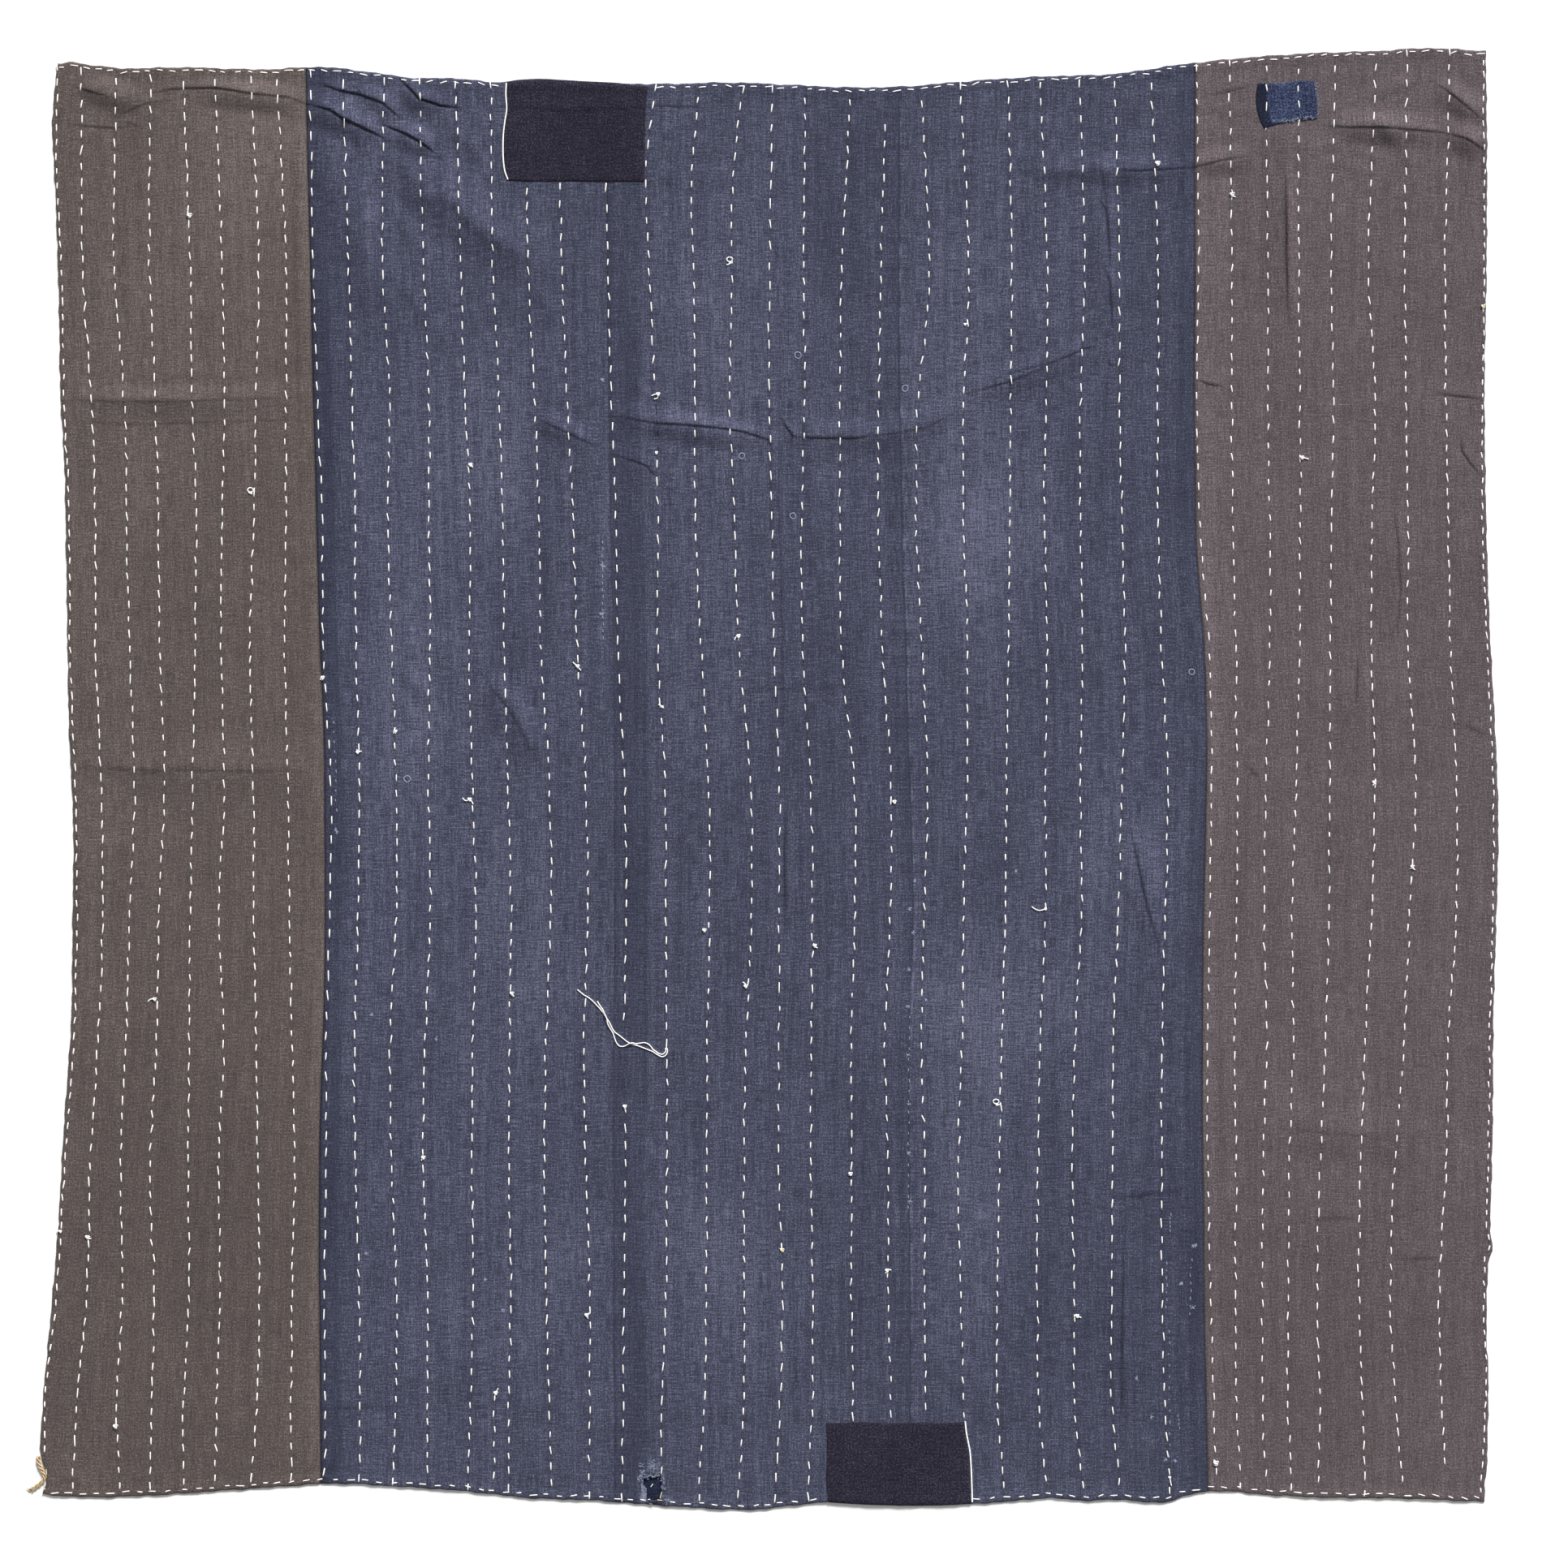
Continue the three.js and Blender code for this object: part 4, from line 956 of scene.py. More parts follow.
def makePanel(panel):
    low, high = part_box(panel["node"])
    width = (high.x - low.x) / mm
    inner = spaced(columnSpacing["first"], width - columnSpacing["first"], columnSpacing["step"])
    shares = [s / width for s in edgeSteps + inner]
    if "fine" in panel:
        start, end = panel["fine"]
        fine = list(np.arange(start, end, columnSpacing["fineStep"] / width))
        shares = [s for s in shares if not start < s < end] + fine
    shares = sorted(shares + [1 - s / width for s in edgeSteps])

    def place(across, up):
        left, right = lengthwise(panel["left"], up), lengthwise(panel["right"], up)
        x = left + (right - left) * across
        share = (up / mm - edges["lowHem"]) / (edges["highHem"] - edges["lowHem"])
        return x, bottomHem(x) + (topHem(x) - bottomHem(x)) * share

    def shape(x, y, u, v):
        return dict(face=clothFace(x, y), under=clothUnderside(x, y), fade=wearAndShadeAt(x, y), row=rowCount(x, y),
                    weaveU=u * width * mm + low.x, weaveV=y)

    hole = None
    if "torn" in panel:
        hole = [tuple(float(v) for v in fromPhoto(*spot)) for spot in panel["torn"]]
    mesh = layGrid(panel["name"], np.array(shares), clothRows(), place, shape, hole, creased=True)
    piece = showMesh(mesh, panel["name"], materials[panel["material"]])
    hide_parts(panel["node"])


for panel in panels:
    makePanel(panel)
print("cloth laid")

# Patches: the four sides in photo pixels, from the corner where each side starts
patches = [
    dict(name="patchDarkTop", node="dark_patch_top", material="darkPatch", slot="dark_patch_cotton",
         top=[(625, 101), (640, 98.6), (665, 97.5), (690, 98.6), (720, 100.5), (760, 102.5), (780, 105.5),
              (799, 107)],
         bottom=[(626, 222.6), (660, 223.8), (700, 223.6), (750, 223.8), (794.4, 223.8)],
         left=[(625, 101), (624.6, 134), (622, 150), (621, 180), (622, 205), (626, 222.6)],
         right=[(799, 107), (796, 136), (795, 175), (794.4, 223.8)], lies=["clothIndigoLeft"]),
    dict(name="patchDarkBottom", node="dark_patch_bottom", material="darkPatch", slot="dark_patch_cotton",
         top=[(1018, 1752.5), (1070, 1751.5), (1130, 1752.5), (1188, 1752)],
         bottom=[(1020.6, 1850.6), (1065, 1853.4), (1139, 1855), (1197, 1852.8)],
         left=[(1018, 1752.5), (1019, 1780), (1018.5, 1820), (1020.6, 1850.6)],
         right=[(1188, 1752), (1193, 1789), (1195, 1820), (1197, 1852.8)], lies=["clothIndigoMiddle"]),
    dict(name="patchBlue", node="blue_patch", material="bluePatch", slot="blue_patch_cotton",
         top=[(1549.5, 103.4), (1576, 103.6), (1599, 100.4), (1618.6, 100.8)],
         bottom=[(1557.5, 158.8), (1568, 155), (1589, 150), (1622.4, 147.2)],
         left=[(1549.5, 103.4), (1547.4, 116), (1548, 132), (1552.5, 149), (1557.5, 158.8)],
         right=[(1618.6, 100.8), (1622, 120), (1623, 137), (1622.4, 147.2)], lies=["clothBrownRight"],
         strip=dict(width=0.16, fade=-0.35)),  # its dark turned-in left side
]
patchShape = {"lift": 0.25 * mm, "thickness": 0.9 * mm, "rim": 2.2 * mm, "rimDrop": 0.55 * mm,
              "rimWear": 0.1, "swell": 0.12 * mm, "swellSize": 30 * mm,
              "step": 2.6 * mm, "rimPoints": (0.7 * mm, 1.5 * mm), "inner": 2.4 * mm}


def sidePoints(side, shares):
    path = smoothPath(np.stack(fromPhoto(*zip(*side)), 1), 6)
    along = np.concatenate([[0], np.cumsum(np.linalg.norm(np.diff(path, axis=0), axis=1))])
    return [np.interp(shares * along[-1], along, path[:, axis]) for axis in (0, 1)]


def makePatch(patch):
    width = abs(patch["top"][0][0] - patch["top"][-1][0]) * photo["pixel"]
    height = abs(patch["left"][0][1] - patch["left"][-1][1]) * photo["pixel"]
    shares = []
    for size in (width, height):
        rim = [0] + [point / size for point in patchShape["rimPoints"]]
        margin = patchShape["inner"] / size
        inner = spaced(margin, 1 - margin, patchShape["step"] / size)
        shares.append(np.array(rim + inner + [1 - s for s in reversed(rim)]))
    corners = [fromPhoto(*patch[side][end]) for side, end in
               (("top", 0), ("top", -1), ("bottom", 0), ("bottom", -1))]

    # Blends the four sides over the patch
    def place(across, up):
        down = 1 - up
        top, bottom = (sidePoints(patch[side], across[0]) for side in ("top", "bottom"))
        left, right = (sidePoints(patch[side], down[:, 0]) for side in ("left", "right"))
        spots = []
        for axis in (0, 1):
            blend = top[axis][None, :] * up + bottom[axis][None, :] * down
            blend = blend + left[axis][:, None] * (1 - across) + right[axis][:, None] * across
            blend -= corners[0][axis] * (1 - across) * up + corners[1][axis] * across * up
            blend -= corners[2][axis] * (1 - across) * down + corners[3][axis] * across * down
            spots.append(blend)
        return spots

    def shape(x, y, u, v):
        edge = np.minimum(np.minimum(u, 1 - u) * width, np.minimum(v, 1 - v) * height)
        rim = np.clip(1 - edge / patchShape["rim"], 0, 1) ** 2
        under = clothFace(x, y) + patchShape["lift"]
        swell = patchShape["swell"] * unevenField(x, y, patchShape["swellSize"], patchShape["swellSize"], 11)
        face = under + patchShape["thickness"] + swell - patchShape["rimDrop"] * rim
        strip = patch.get("strip", dict(width=0, fade=0))
        fade = strip["fade"] * (u < strip["width"]) + patchShape["rimWear"] * rim
        return dict(face=face, under=under, fade=fade, row=np.full(x.shape, 0.5), weaveU=u * width, weaveV=y)

    mesh = layGrid(patch["name"], shares[0], shares[1], place, shape)
    piece = showMesh(mesh, patch["name"], materials[patch["material"]])
    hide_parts(patch["node"])


for patch in patches:
    makePatch(patch)

# The navy cloth that shows in the torn place lies under the cloth, a little larger than the tear
mend = {"low": (785, 1851), "high": (822, 1814), "bottom": 0.04 * mm, "top": 0.42 * mm, "points": 18,
        "swell": 0.04 * mm, "swellSize": 8 * mm}
mendLow, mendHigh = fromPhoto(*mend["low"]), fromPhoto(*mend["high"])
mendX = np.linspace(mendLow[0], mendHigh[0], mend["points"])
mendY = np.linspace(mendLow[1], mendHigh[1], mend["points"])


def mendShape(x, y, u, v):
    face = mend["top"] + mend["swell"] * unevenField(x, y, mend["swellSize"], mend["swellSize"], 2)
    flat = np.zeros(x.shape)
    return dict(face=face, under=flat + mend["bottom"], fade=flat, row=flat + 0.5, weaveU=x, weaveV=y)


mendMesh = layGrid("mendCloth", mendX, mendY, lambda across, up: (across, up), mendShape)
mendPiece = showMesh(mendMesh, "mendCloth", materials["mend"])
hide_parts("mend_cloth")
print("patches laid")

# Stitches: the thread's sizes, how much length, pitch, heading and place vary, the span that gives a
# stitch its heading, and the photo's heights where a line starts and ends at the latest
stitch = {
    "half": 0.8 * mm, "height": 0.4 * mm, "lift": 0.3 * mm, "sink": 0.3 * mm,
    "lengthSpread": 0.12, "pitchSpread": 0.07, "slant": 0.09, "wander": 0.45, "span": 8 * mm,
    "top": 60, "topSpread": 8, "bottom": 1870,
    "clear": 0.6,  # share of its half length that stays inside the hems
    "fullness": 0.34, "fullest": 3,  # the bar keeps its width nearly to its ends
    "thin": 0.88, "widthSpread": 0.24,
    "faceSides": (6, 6), "backSides": (4, 3), "backLift": -0.05 * mm,
    "backShortest": 1.5 * mm, "backLongest": 12 * mm, "backOverlap": 0.6 * mm,
}
# Stitches along the two hems, in photo pixels; patches and the torn place stay bare
hemStitch = {"length": 8.5, "lengthSpread": 0.16, "pitchSpread": 0.09, "slant": 0.14, "insetSpread": 0.6,
             "span": 4 * mm, "thinner": 0.85, "end": 1826}
hemLines = [
    dict(edge=topHem, inward=-1, start=76, pitch=16, inset=4.4, bare=[(622, 800)]),
    dict(edge=bottomHem, inward=1, start=68, pitch=17.5, inset=5.2, bare=[(1016, 1200), (794, 822)]),
]


# Places the stitches of one line down the cloth: middle x, y, half length, heading and shade
def runStitches(line):
    rows = []
    gap = line.get("gap", (0, 0))
    down = max(line.get("top", 0), stitch["top"]) + chance.uniform(0, stitch["topSpread"])
    while down < line.get("bottom", stitch["bottom"]):
        step = line["pitch"] * (1 + chance.normal(0, stitch["pitchSpread"]))
        length = line["length"] * (1 + chance.normal(0, stitch["lengthSpread"]))
        y = fromPhoto(0, down)[1]
        x = linePlace(line, y) + chance.normal(0, stitch["wander"]) * photo["pixel"]
        ahead = linePlace(line, y - stitch["span"]) - linePlace(line, y + stitch["span"])
        heading = math.atan2(-2 * stitch["span"], ahead) + chance.normal(0, stitch["slant"])
        half = length / 2 * photo["pixel"]
        reach = half * stitch["clear"]
        if y + reach < topHem(x) and y - reach > bottomHem(x) and not gap[0] < down < gap[1]:
            rows.append((x, y, half, heading, chance.uniform(0, 1)))
        down += step
    return rows


def hemRun(line):
    rows = []
    px = line["start"]
    edge, span = line["edge"], hemStitch["span"]
    while px < hemStitch["end"]:
        x = fromPhoto(px, 0)[0]
        away = (line["inset"] + chance.normal(0, hemStitch["insetSpread"])) * photo["pixel"]
        y = edge(x) + line["inward"] * away
        slope = (edge(x + span) - edge(x - span)) / (2 * span)
        half = hemStitch["length"] * (1 + chance.normal(0, hemStitch["lengthSpread"])) / 2 * photo["pixel"]
        heading = math.atan(slope) + chance.normal(0, hemStitch["slant"])
        if not any(low < px < high for low, high in line["bare"]):
            rows.append((x, y, half, heading, chance.uniform(0, 1)))
        px += line["pitch"] * (1 + chance.normal(0, hemStitch["pitchSpread"]))
    return rows


# Makes one mesh of many stitches: rounded bars that dive into the cloth at both ends
def stitchMesh(name, rows, surface, lift, sides, halfWidth):
    bar = bmesh.new()
    bmesh.ops.create_uvsphere(bar, u_segments=sides[0], v_segments=sides[1], radius=1)
    barMesh = bpy.data.meshes.new(name + "Bar")
    bar.to_mesh(barMesh)
    bar.free()
    sewn = bmesh.new()
    for _ in rows:
        sewn.from_mesh(barMesh)
    mesh = bpy.data.meshes.new(name)
    sewn.to_mesh(mesh)
    sewn.free()
    count = len(mesh.vertices) // len(rows)
    local = np.zeros(len(mesh.vertices) * 3)
    mesh.vertices.foreach_get("co", local)
    local = local.reshape(len(rows), count, 3)
    x, y, half, heading, shade = (np.array(column)[:, None] for column in zip(*rows))
    along, side, up = local[:, :, 2], local[:, :, 0], local[:, :, 1]
    fuller = np.minimum((1.0001 - np.clip(along ** 2, 0, 1)) ** -stitch["fullness"], stitch["fullest"])
    width = halfWidth * (stitch["thin"] + stitch["widthSpread"] * shade)
    level = [surface(x + np.cos(heading) * half * s, y + np.sin(heading) * half * s) for s in (-1, 0, 1)]
    bend = level[1] + along * (level[2] - level[0]) / 2 + along ** 2 * ((level[2] + level[0]) / 2 - level[1])
    dive = lift * (1 - along ** 4) - stitch["sink"] * np.sign(lift) * along ** 4
    sideways = side * fuller * width
    placed = np.stack([
        x + np.cos(heading) * along * half - np.sin(heading) * sideways,
        y + np.sin(heading) * along * half + np.cos(heading) * sideways,
        bend + dive + up * fuller * stitch["height"],
    ], 2)
    mesh.vertices.foreach_set("co", placed.ravel())
    tones = mesh.attributes.new("shade", "FLOAT", "POINT")
    tones.data.foreach_set("value", np.repeat(shade.ravel() * 0.5, count).astype(np.float32))
    mesh.shade_smooth()
    return mesh


# The thread lies on the back between the stitches on the face
def backRows(rows):
    between = []
    for first, second in zip(rows, rows[1:]):
        dx, dy = second[0] - first[0], second[1] - first[1]
        span = math.hypot(dx, dy)
        half = (span - first[2] - second[2]) / 2
        if stitch["backShortest"] < half < stitch["backLongest"]:
            middle = ((first[0] + second[0]) / 2, (first[1] + second[1]) / 2)
            between.append((*middle, half + stitch["backOverlap"], math.atan2(dy, dx), first[4]))
    return between


bluePatchCorners = {"low": (1551, 151), "high": (1621, 103)}  # in photo pixels


# The cloth's face, raised where the blue patch lies, because stitches run over that patch alone
def patchFace(x, y):
    low, high = fromPhoto(*bluePatchCorners["low"]), fromPhoto(*bluePatchCorners["high"])
    onBlue = ((x > low[0]) & (x < high[0]) & (y > low[1]) & (y < high[1])).astype(float)
    return clothFace(x, y) + onBlue * (patchShape["lift"] + patchShape["thickness"])


# Sews runs of stitches: one mesh for the face and one for the back
def sewRuns(name, runs, halfWidth):
    shown = [row for run in runs for row in run]
    hidden = [row for run in runs for row in backRows(run)]
    face = stitchMesh(name, shown, patchFace, stitch["lift"], stitch["faceSides"], halfWidth)
    back = stitchMesh(name + "Back", hidden, clothUnderside, stitch["backLift"], stitch["backSides"],
                      stitch["half"])
    showMesh(face, name, materials["white"])
    showMesh(back, name + "Back", materials["white"])


lineGroups = [("stitchesBrownLeft", 0, 8), ("stitchesIndigoLeft", 8, 16), ("stitchesIndigoMiddle", 16, 24),
              ("stitchesIndigoRight", 24, 31), ("stitchesBrownRight", 31, 40)]
for name, first, last in lineGroups:
    lines = stitchLines[first:last] + ([shortLine] if name == "stitchesIndigoLeft" else [])
    sewRuns(name, [runStitches(line) for line in lines], stitch["half"])
sewRuns("stitchesHem", [hemRun(line) for line in hemLines], stitch["half"] * hemStitch["thinner"])
print("stitches sewn")

# Threads that run unbroken down one side of each dark patch, in photo pixels
patchThreads = {
    "radius": 0.85 * mm, "lift": 0.5 * mm,
    "routes": [
        [(624, 103), (623.4, 118), (624.6, 134.6), (622.3, 150), (620.3, 167), (619.8, 185), (620.3, 198),
         (622, 211), (626, 221.7)],
        [(1189, 1751), (1190.5, 1765), (1193, 1778), (1195, 1789), (1196.2, 1805), (1196.9, 1822),
         (1197.4, 1838), (1197.6, 1850)],
    ],
}
# Knots: place in photo pixels, size, and where the tails point
knots = [
    dict(at=(234, 266), size=1.3), dict(at=(899, 320), kind="loop"),
    dict(at=(811, 486), tails=[(-8, 2), (-5, 6)]), dict(at=(1426, 202), size=1.3),
    dict(at=(1189, 400), size=0.6), dict(at=(1518, 240), size=1.2, tails=[(4, 3), (-1, -6)]),
    dict(at=(309, 604), kind="loop"), dict(at=(398, 835)), dict(at=(441, 927), size=0.8),
    dict(at=(488, 901), size=0.7), dict(at=(580, 573)), dict(at=(712, 821), tails=[(-6, -5), (4, 5)]),
    dict(at=(910, 784)), dict(at=(809, 558), size=0.7), dict(at=(816, 871), size=0.6),
    dict(at=(1604, 564), tails=[(8, 2)]), dict(at=(1693, 964)), dict(at=(191, 1231), tails=[(-8, 3)]),
    dict(at=(579, 985), tails=[(-9, -2), (4, 6)]), dict(at=(631, 1224)), dict(at=(868, 1146)),
    dict(at=(919, 1215), tails=[(-4, -5)]), dict(at=(770, 1363)), dict(at=(522, 1426)), dict(at=(1102, 988)),
    dict(at=(1004, 1165)), dict(at=(1288, 1120), size=0.6, tails=[(-17, -3)]),
    dict(at=(1227, 1357), kind="loop"), dict(at=(1048, 1446)), dict(at=(1740, 1068)), dict(at=(108, 1524)),
    dict(at=(75, 1517), size=0.7), dict(at=(143, 1757), size=1.25), dict(at=(611, 1716), tails=[(3, -6)]),
    dict(at=(723, 1620)), dict(at=(964, 1540), shade="cream"), dict(at=(1093, 1565)),
    dict(at=(1327, 1621), tails=[(5, 2)]), dict(at=(1498, 1802), size=1.4),
    dict(at=(1827, 378), shade="cream"), dict(at=(1441, 1820), size=0.6, tails=[(2, 10)]),
]
knotShape = {"radius": 0.6 * mm, "turn": 1.75 * mm, "loop": 3.3 * mm, "points": 22, "loopPoints": 16,
             "pressed": 0.42, "middle": 1.5, "wave": 1.1,  # shares of the turn, and of the radius
             "underLoop": 0.5, "tailReach": (5, 4), "tailBend": 0.3, "tailPoints": 6}


def onFace(px, py, lift):
    x, y = fromPhoto(px, py)
    return np.column_stack([x, y, patchFace(x, y) + lift])


# A trefoil turn of thread, pressed flat, with its tails lying on the cloth
def tieKnot(curve, knot):
    size = knot.get("size", 1.0)
    turn = np.linspace(0, 2 * np.pi, knotShape["points"])[:-1] + chance.uniform(0, 6)
    flat = knotShape["turn"] * size * knotShape["pressed"]
    cx, cy = fromPhoto(*knot["at"])
    x = cx + flat * (np.sin(turn) + 2 * np.sin(2 * turn))
    y = cy + flat * (np.cos(turn) - 2 * np.cos(2 * turn))
    level = knotShape["middle"] - knotShape["wave"] * np.sin(3 * turn)
    z = patchFace(x, y) + knotShape["radius"] * level * size
    addSpline(curve, np.column_stack([x, y, z]), closed=True)
    tails = knot.get("tails", [tuple(chance.uniform(-reach, reach, 2)) for reach in knotShape["tailReach"]])
    for dx, dy in tails:
        bend = chance.uniform(-knotShape["tailBend"], knotShape["tailBend"])
        steps = np.linspace(0, 1, knotShape["tailPoints"])
        px = knot["at"][0] + dx * steps - dy * bend * np.sin(np.pi * steps)
        py = knot["at"][1] + dy * steps + dx * bend * np.sin(np.pi * steps)
        addSpline(curve, onFace(px, py, knotShape["radius"] * 1.05))


# An open loop of thread that rises at its end, over a small knot
def tieLoop(curve, knot):
    turn = np.linspace(0.3, 2 * np.pi + 0.1, knotShape["loopPoints"]) + chance.uniform(0, 6)
    cx, cy = fromPhoto(*knot["at"])
    x = cx + knotShape["loop"] * np.cos(turn)
    y = cy + knotShape["loop"] * 0.8 * np.sin(turn)
    level = 1.1 + 2.4 * np.linspace(0, 1, knotShape["loopPoints"]) ** 6
    addSpline(curve, np.column_stack([x, y, patchFace(x, y) + knotShape["radius"] * level]))
    tieKnot(curve, dict(knot, at=(knot["at"][0] + 1, knot["at"][1] + 4), size=knotShape["underLoop"]))


for shade, name in (("white", "knotsWhite"), ("cream", "knotsCream")):
    curve = newCurve(name, knotShape["radius"], 1)
    for knot in knots:
        if knot.get("shade", "white") == shade:
            (tieLoop if knot.get("kind") == "loop" else tieKnot)(curve, knot)
    showMesh(curveMesh(curve, name), name, materials[shade])
curve = newCurve("patchThreads", patchThreads["radius"], 2)
for route in patchThreads["routes"]:
    px, py = smoothPath(route, 3).T
    addSpline(curve, onFace(px, py, patchThreads["lift"]))
showMesh(curveMesh(curve, "patchThreads"), "patchThreads", materials["white"])

# Odd threads in other colours: dark ones where a stitch line has lost its white thread, and stray ones
oddShape = {"radius": 0.42 * mm, "lift": 0.35 * mm}
oddThreads = {
    "mend": [[(808, 497), (809, 504), (809, 511)], [(809.5, 517), (810, 523)], [(810.6, 530), (811, 537)],
             [(811.4, 551), (811.2, 559)]],
    "cream": [[(57.5, 1810), (57.8, 1816)], [(55.6, 1826), (55.2, 1832)], [(54, 1834), (56.5, 1834.4)],
              [(815.4, 1838), (813.4, 1845.6)], [(810, 1847.6), (816, 1848.2)], [(270, 1565), (270.6, 1573)]],
    "white": [[(798.6, 1847), (801.2, 1846.8)], [(804.6, 1828), (802, 1831.6)]],
    "rust": [[(580, 1014), (581.5, 1020)], [(386, 743), (388.5, 738)], [(1441, 1570), (1440.5, 1573)],
             [(1440, 1600), (1439.6, 1604)], [(501, 958), (503, 962)]],
}
for shade, marks in oddThreads.items():
    name = shade + "Threads"
    curve = newCurve(name, oddShape["radius"], 1)
    for mark in marks:
        px, py = np.array(mark, float).T
        addSpline(curve, onFace(px, py, oddShape["lift"]))
    showMesh(curveMesh(curve, name), name, materials[shade])
print("knots tied")

# Loose fibres: frayed cut edges, the torn place, and worn rings and flecks. Each fray has its line, length
# and spread in photo pixels, and each ring its middle and radius.
frays = [
    dict(line=[(1560, 153), (1589, 148.5), (1620, 144.5)], count=110, length=2.6, spread=0.8),
    dict(line=[(1622, 105), (1623.5, 128), (1623, 146)], count=34, length=2.6, spread=1.0),
    dict(line=[(1552, 102), (1576, 102.5), (1616, 99.5)], count=22, length=2.2, spread=1.0),
    dict(line=[(791, 1803), (791, 1812), (788, 1822), (792, 1832), (795, 1847)],
         count=44, length=4, spread=1.3),
    dict(line=[(795, 1819), (804, 1819), (813, 1818), (817, 1826), (818, 1836)],
         count=44, length=4, spread=1.3),
    dict(line=[(800, 1802), (806, 1804), (806, 1813)], count=22, length=4, spread=2.2),
    dict(line=[(820, 1846), (827, 1851)], count=12, length=3, spread=1.6),
    dict(line=[(801, 1853), (803, 1855.5)], count=8, length=3, spread=0.7),
]
rings = [(1115, 479, 4), (983, 438, 4), (914, 562, 3.5), (977, 636, 3.5), (1468, 828, 3.5), (502, 960, 4)]
flecks = [(744, 698), (742, 696), (741, 756), (743, 757), (415, 1025), (414, 1022), (458, 1250), (538, 1280),
          (451, 1544), (598, 1576), (620, 1614), (1252, 1073), (1455, 1582), (1456, 1581), (1470, 1611),
          (1121, 1120), (1127, 1085), (1125, 1149), (1120, 1194), (1118, 1240), (1119, 1300), (1120, 1360),
          (1120, 1420), (1121, 1480), (1140, 1232), (742, 469), (743, 468), (1470, 1535), (1473, 1534),
          (1400, 1698), (1418, 1746), (1436, 1799), (1448, 1799)]
# Rows of needle holes where older stitches came out: x at the top and the bottom
dashLines = [
    dict(x=(742, 743), top=668, bottom=794, pitch=8.4), dict(x=(1437, 1436), top=1556, bottom=1614, pitch=9),
    dict(x=(1467, 1466), top=1552, bottom=1622, pitch=9.5),
    dict(x=(1120, 1119), top=1240, bottom=1500, pitch=13),
    dict(x=(412, 415), top=890, bottom=1000, pitch=12), dict(x=(1440, 1441), top=1640, bottom=1800, pitch=14),
    dict(x=(1441, 1441), top=1496, bottom=1517, pitch=5),
    dict(x=(1452, 1452), top=1744, bottom=1760, pitch=5),
]
lint = {"radius": 0.26 * mm, "lift": 0.12 * mm, "liftSpread": 0.3 * mm, "ring": 0.5 * mm, "ringPoints": 14,
        "ringWobble": 0.07, "bend": 1.2, "fibrePoints": 5, "fleckFibres": 6, "fleckSpread": 0.7,
        "fleckReach": (1.2, 2.6), "dashFibres": 2, "dashSpread": 0.5, "dashReach": (0.8, 2.2)}


def layFray(curve, fray):
    path = smoothPath(fray["line"], 12)
    along = np.linspace(0, 1, lint["fibrePoints"])
    for _ in range(fray["count"]):
        px, py = path[chance.randint(len(path))] + chance.normal(0, fray["spread"], 2)
        turn, bend = chance.uniform(0, 2 * np.pi), chance.uniform(-lint["bend"], lint["bend"])
        reach = fray["length"] * chance.uniform(0.4, 1.2)
        angle = turn + bend * along
        fibreX = px + np.cumsum(np.cos(angle)) * reach / lint["fibrePoints"]
        fibreY = py + np.cumsum(np.sin(angle)) * reach / lint["fibrePoints"]
        lift = lint["lift"] + lint["liftSpread"] * chance.uniform(0, 1) * along
        addSpline(curve, onFace(fibreX, fibreY, lift))


def layDashes(curve, mark):
    for py in np.arange(mark["top"], mark["bottom"], mark["pitch"]):
        middle = np.interp(py, (mark["top"], mark["bottom"]), mark["x"])
        px = middle + chance.normal(0, lint["dashSpread"])
        for fibre in range(lint["dashFibres"]):
            ends = np.linspace(-1, 1, 3) * chance.uniform(*lint["dashReach"])
            addSpline(curve, onFace(px + fibre * 0.5 + ends * 0.1, py + ends, lint["lift"]))


def layFleck(curve, px, py):
    steps = np.linspace(-1, 1, 4)
    for _ in range(lint["fleckFibres"]):
        turn = chance.uniform(0, np.pi)
        reach = chance.uniform(*lint["fleckReach"])
        offX, offY = chance.normal(0, lint["fleckSpread"], 2)
        fleckX = px + offX + np.cos(turn) * reach * steps
        fleckY = py + offY + np.sin(turn) * reach * steps
        addSpline(curve, onFace(fleckX, fleckY, lint["lift"]))


def layRing(curve, px, py, size):
    turn = np.linspace(0, 2 * np.pi, lint["ringPoints"] + 1)[:-1]
    wobble = 1 + chance.normal(0, lint["ringWobble"], lint["ringPoints"])
    ringX, ringY = px + size * wobble * np.cos(turn), py + size * wobble * np.sin(turn)
    addSpline(curve, onFace(ringX, ringY, lint["lift"]), closed=True)


curve = newCurve("lintFibres", lint["radius"], 0)
for fray in frays:
    layFray(curve, fray)
for mark in dashLines:
    layDashes(curve, mark)
for px, py in flecks:
    layFleck(curve, px, py)
showMesh(curveMesh(curve, "lintFibres"), "lintFibres", materials["lint"])
curve = newCurve("wornRings", lint["ring"], 0)
for px, py, size in rings:
    layRing(curve, px, py, size)
showMesh(curveMesh(curve, "wornRings"), "wornRings", materials["lint"])

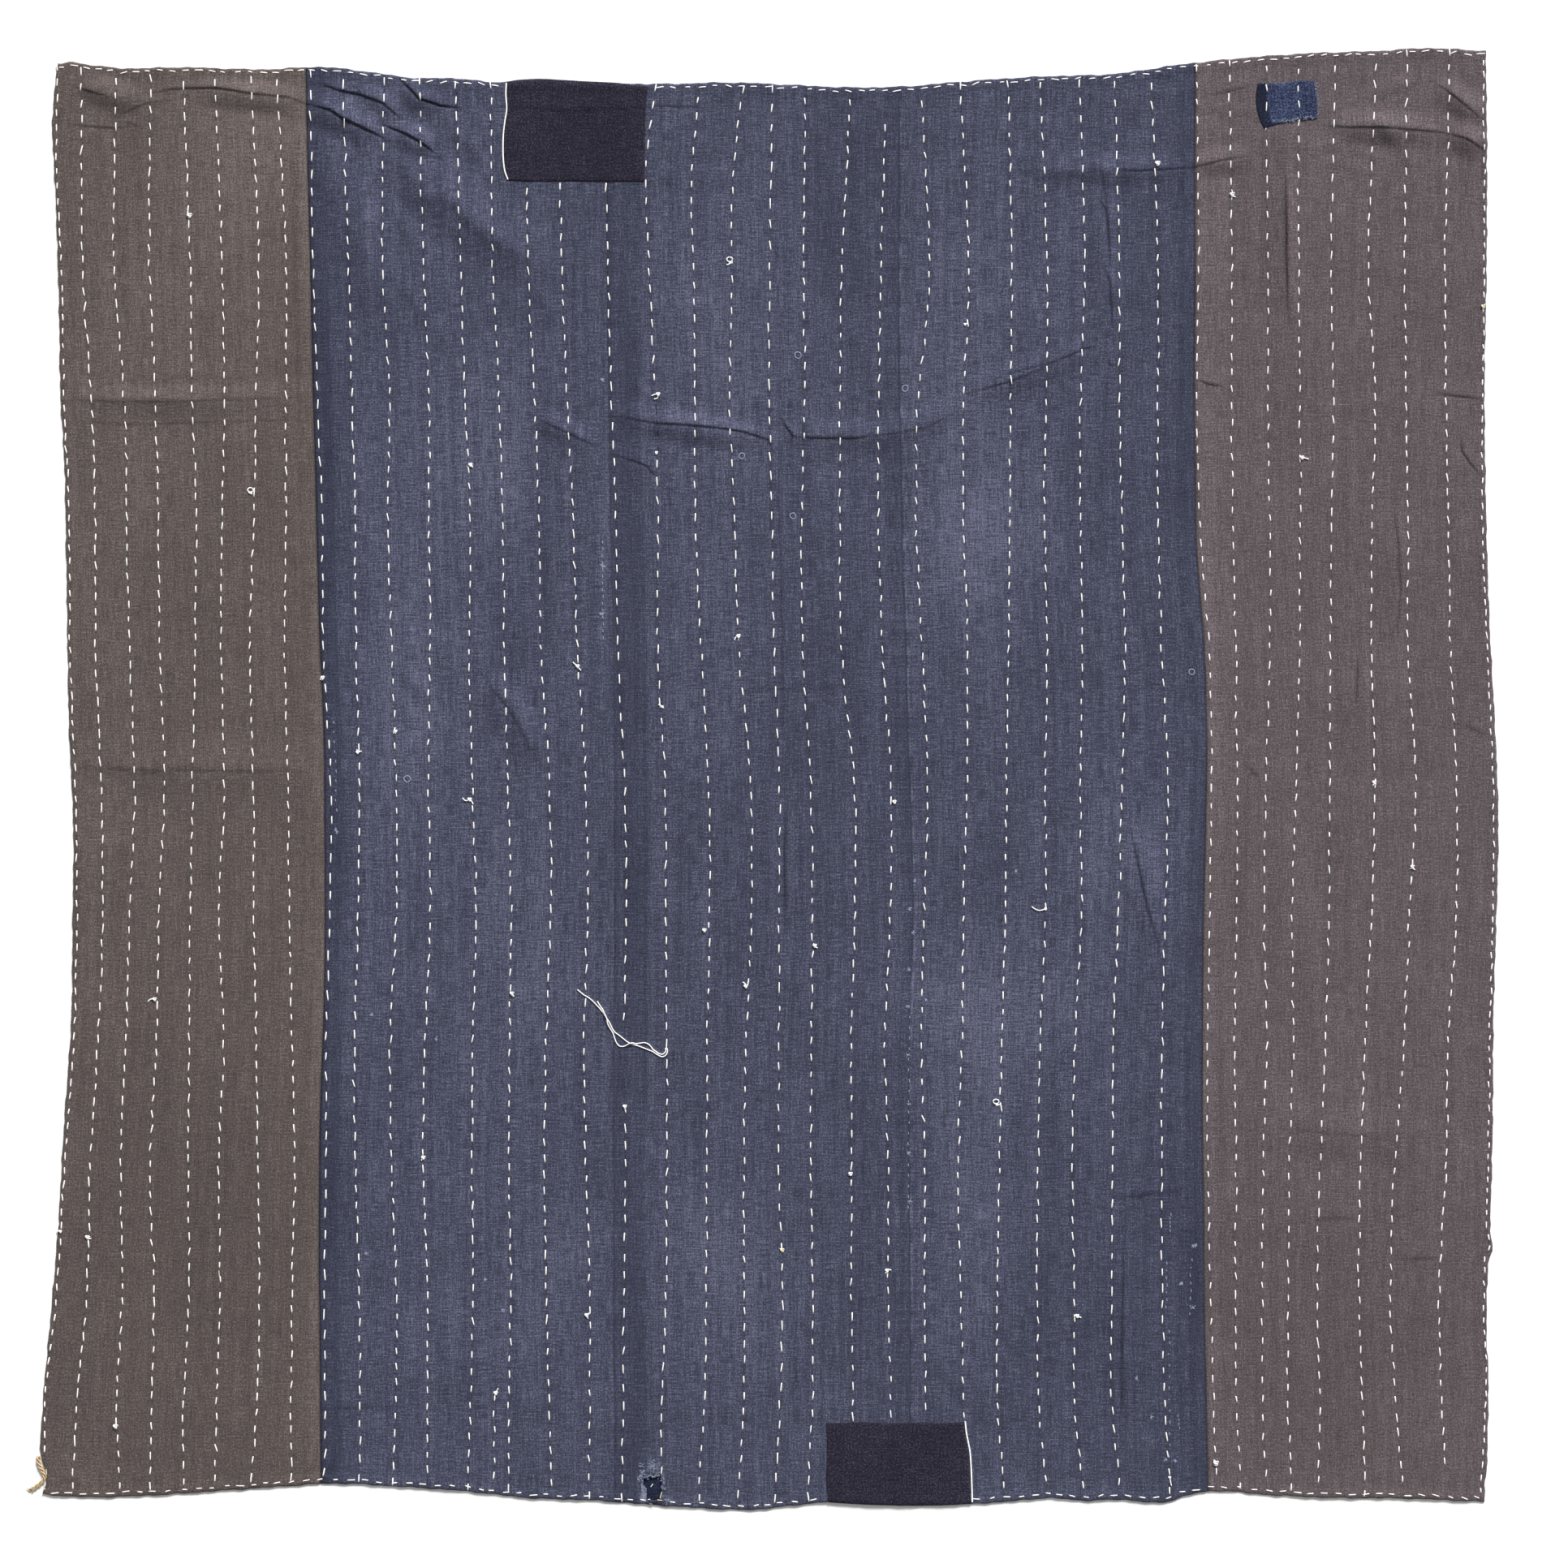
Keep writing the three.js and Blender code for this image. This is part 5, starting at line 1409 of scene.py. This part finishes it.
# The yarn's cut end has come apart into loose fibres that point away from the corner; places in photo pixels
yarnTail = {"at": (39.5, 1834), "atSpread": 1.2, "count": 26, "reach": 4.8, "heading": 2.15, "spread": 0.4,
            "bend": 0.8, "radius": 0.3 * mm, "low": 0.6 * mm, "high": 1.2 * mm}
curve = newCurve("yarnFibres", yarnTail["radius"], 0)
for _ in range(yarnTail["count"]):
    px, py = np.array(yarnTail["at"]) + chance.normal(0, yarnTail["atSpread"], 2)
    heading = yarnTail["heading"] + chance.normal(0, yarnTail["spread"])
    bend = chance.uniform(-yarnTail["bend"], yarnTail["bend"])
    steps = np.linspace(0, 1, 6)
    reach = yarnTail["reach"] * chance.uniform(0.5, 1.1) * steps
    angle = heading + bend * steps
    fibreX, fibreY = fromPhoto(px + np.cos(angle) * reach, py + np.sin(angle) * reach)
    level = yarnTail["low"] + yarnTail["high"] * chance.uniform(0, 1) * np.linspace(1, 0.3, 6)
    addSpline(curve, np.column_stack([fibreX, fibreY, level]))
showMesh(curveMesh(curve, "yarnFibres"), "yarnFibres", materials["tan"])
print("fibres laid")

# Plain pale floor and soft studio light, strongest from the top of the picture
studio = {"floorSize": 60.0, "floorDrop": 0.3 * mm, "keyLevel": 1.0, "elevation": 28, "softness": 20,
          "sky": 0.34}
floorMesh = bpy.data.meshes.new("floor")
floorShape = bmesh.new()
bmesh.ops.create_grid(floorShape, x_segments=1, y_segments=1, size=studio["floorSize"] / 2)
bmesh.ops.translate(floorShape, verts=floorShape.verts, vec=(0, 0, -studio["floorDrop"]))
floorShape.to_mesh(floorMesh)
floorShape.free()
floor = bpy.data.objects.new("floor", floorMesh)
bpy.context.scene.collection.objects.link(floor)
# Matte white paper has no gloss, so the eye sees only the cloth's soft shadow on it
floorMaterial, floorTree = newMaterial("matteWhitePaper")
floorShader = addNode(floorTree, "ShaderNodeBsdfPrincipled",
                      values={"Base Color": fromHex("#fbfbfa"), "Roughness": 1.0, "Specular IOR Level": 0.0})
finishMaterial(floorTree, floorShader)
floorMesh.materials.append(floorMaterial)

sun = bpy.data.lights.new("softKey", "SUN")
sun.angle = math.radians(studio["softness"])
sun.energy = studio["keyLevel"] * math.pi / math.sin(math.radians(studio["elevation"]))
lamp = bpy.data.objects.new("softKey", sun)
rise = math.tan(math.radians(studio["elevation"])) * math.hypot(*lightFrom)
lamp.rotation_euler = (-Vector((*lightFrom, rise))).to_track_quat("-Z", "Y").to_euler()
bpy.context.scene.collection.objects.link(lamp)
world = bpy.data.worlds.new("softSky")
world.use_nodes = True
sky = world.node_tree.nodes["Background"]
sky.inputs["Color"].default_value = (1, 1, 1, 1)
sky.inputs["Strength"].default_value = studio["sky"]
bpy.context.scene.world = world
bpy.context.scene.view_settings.view_transform = "Standard"
print("studio lit")
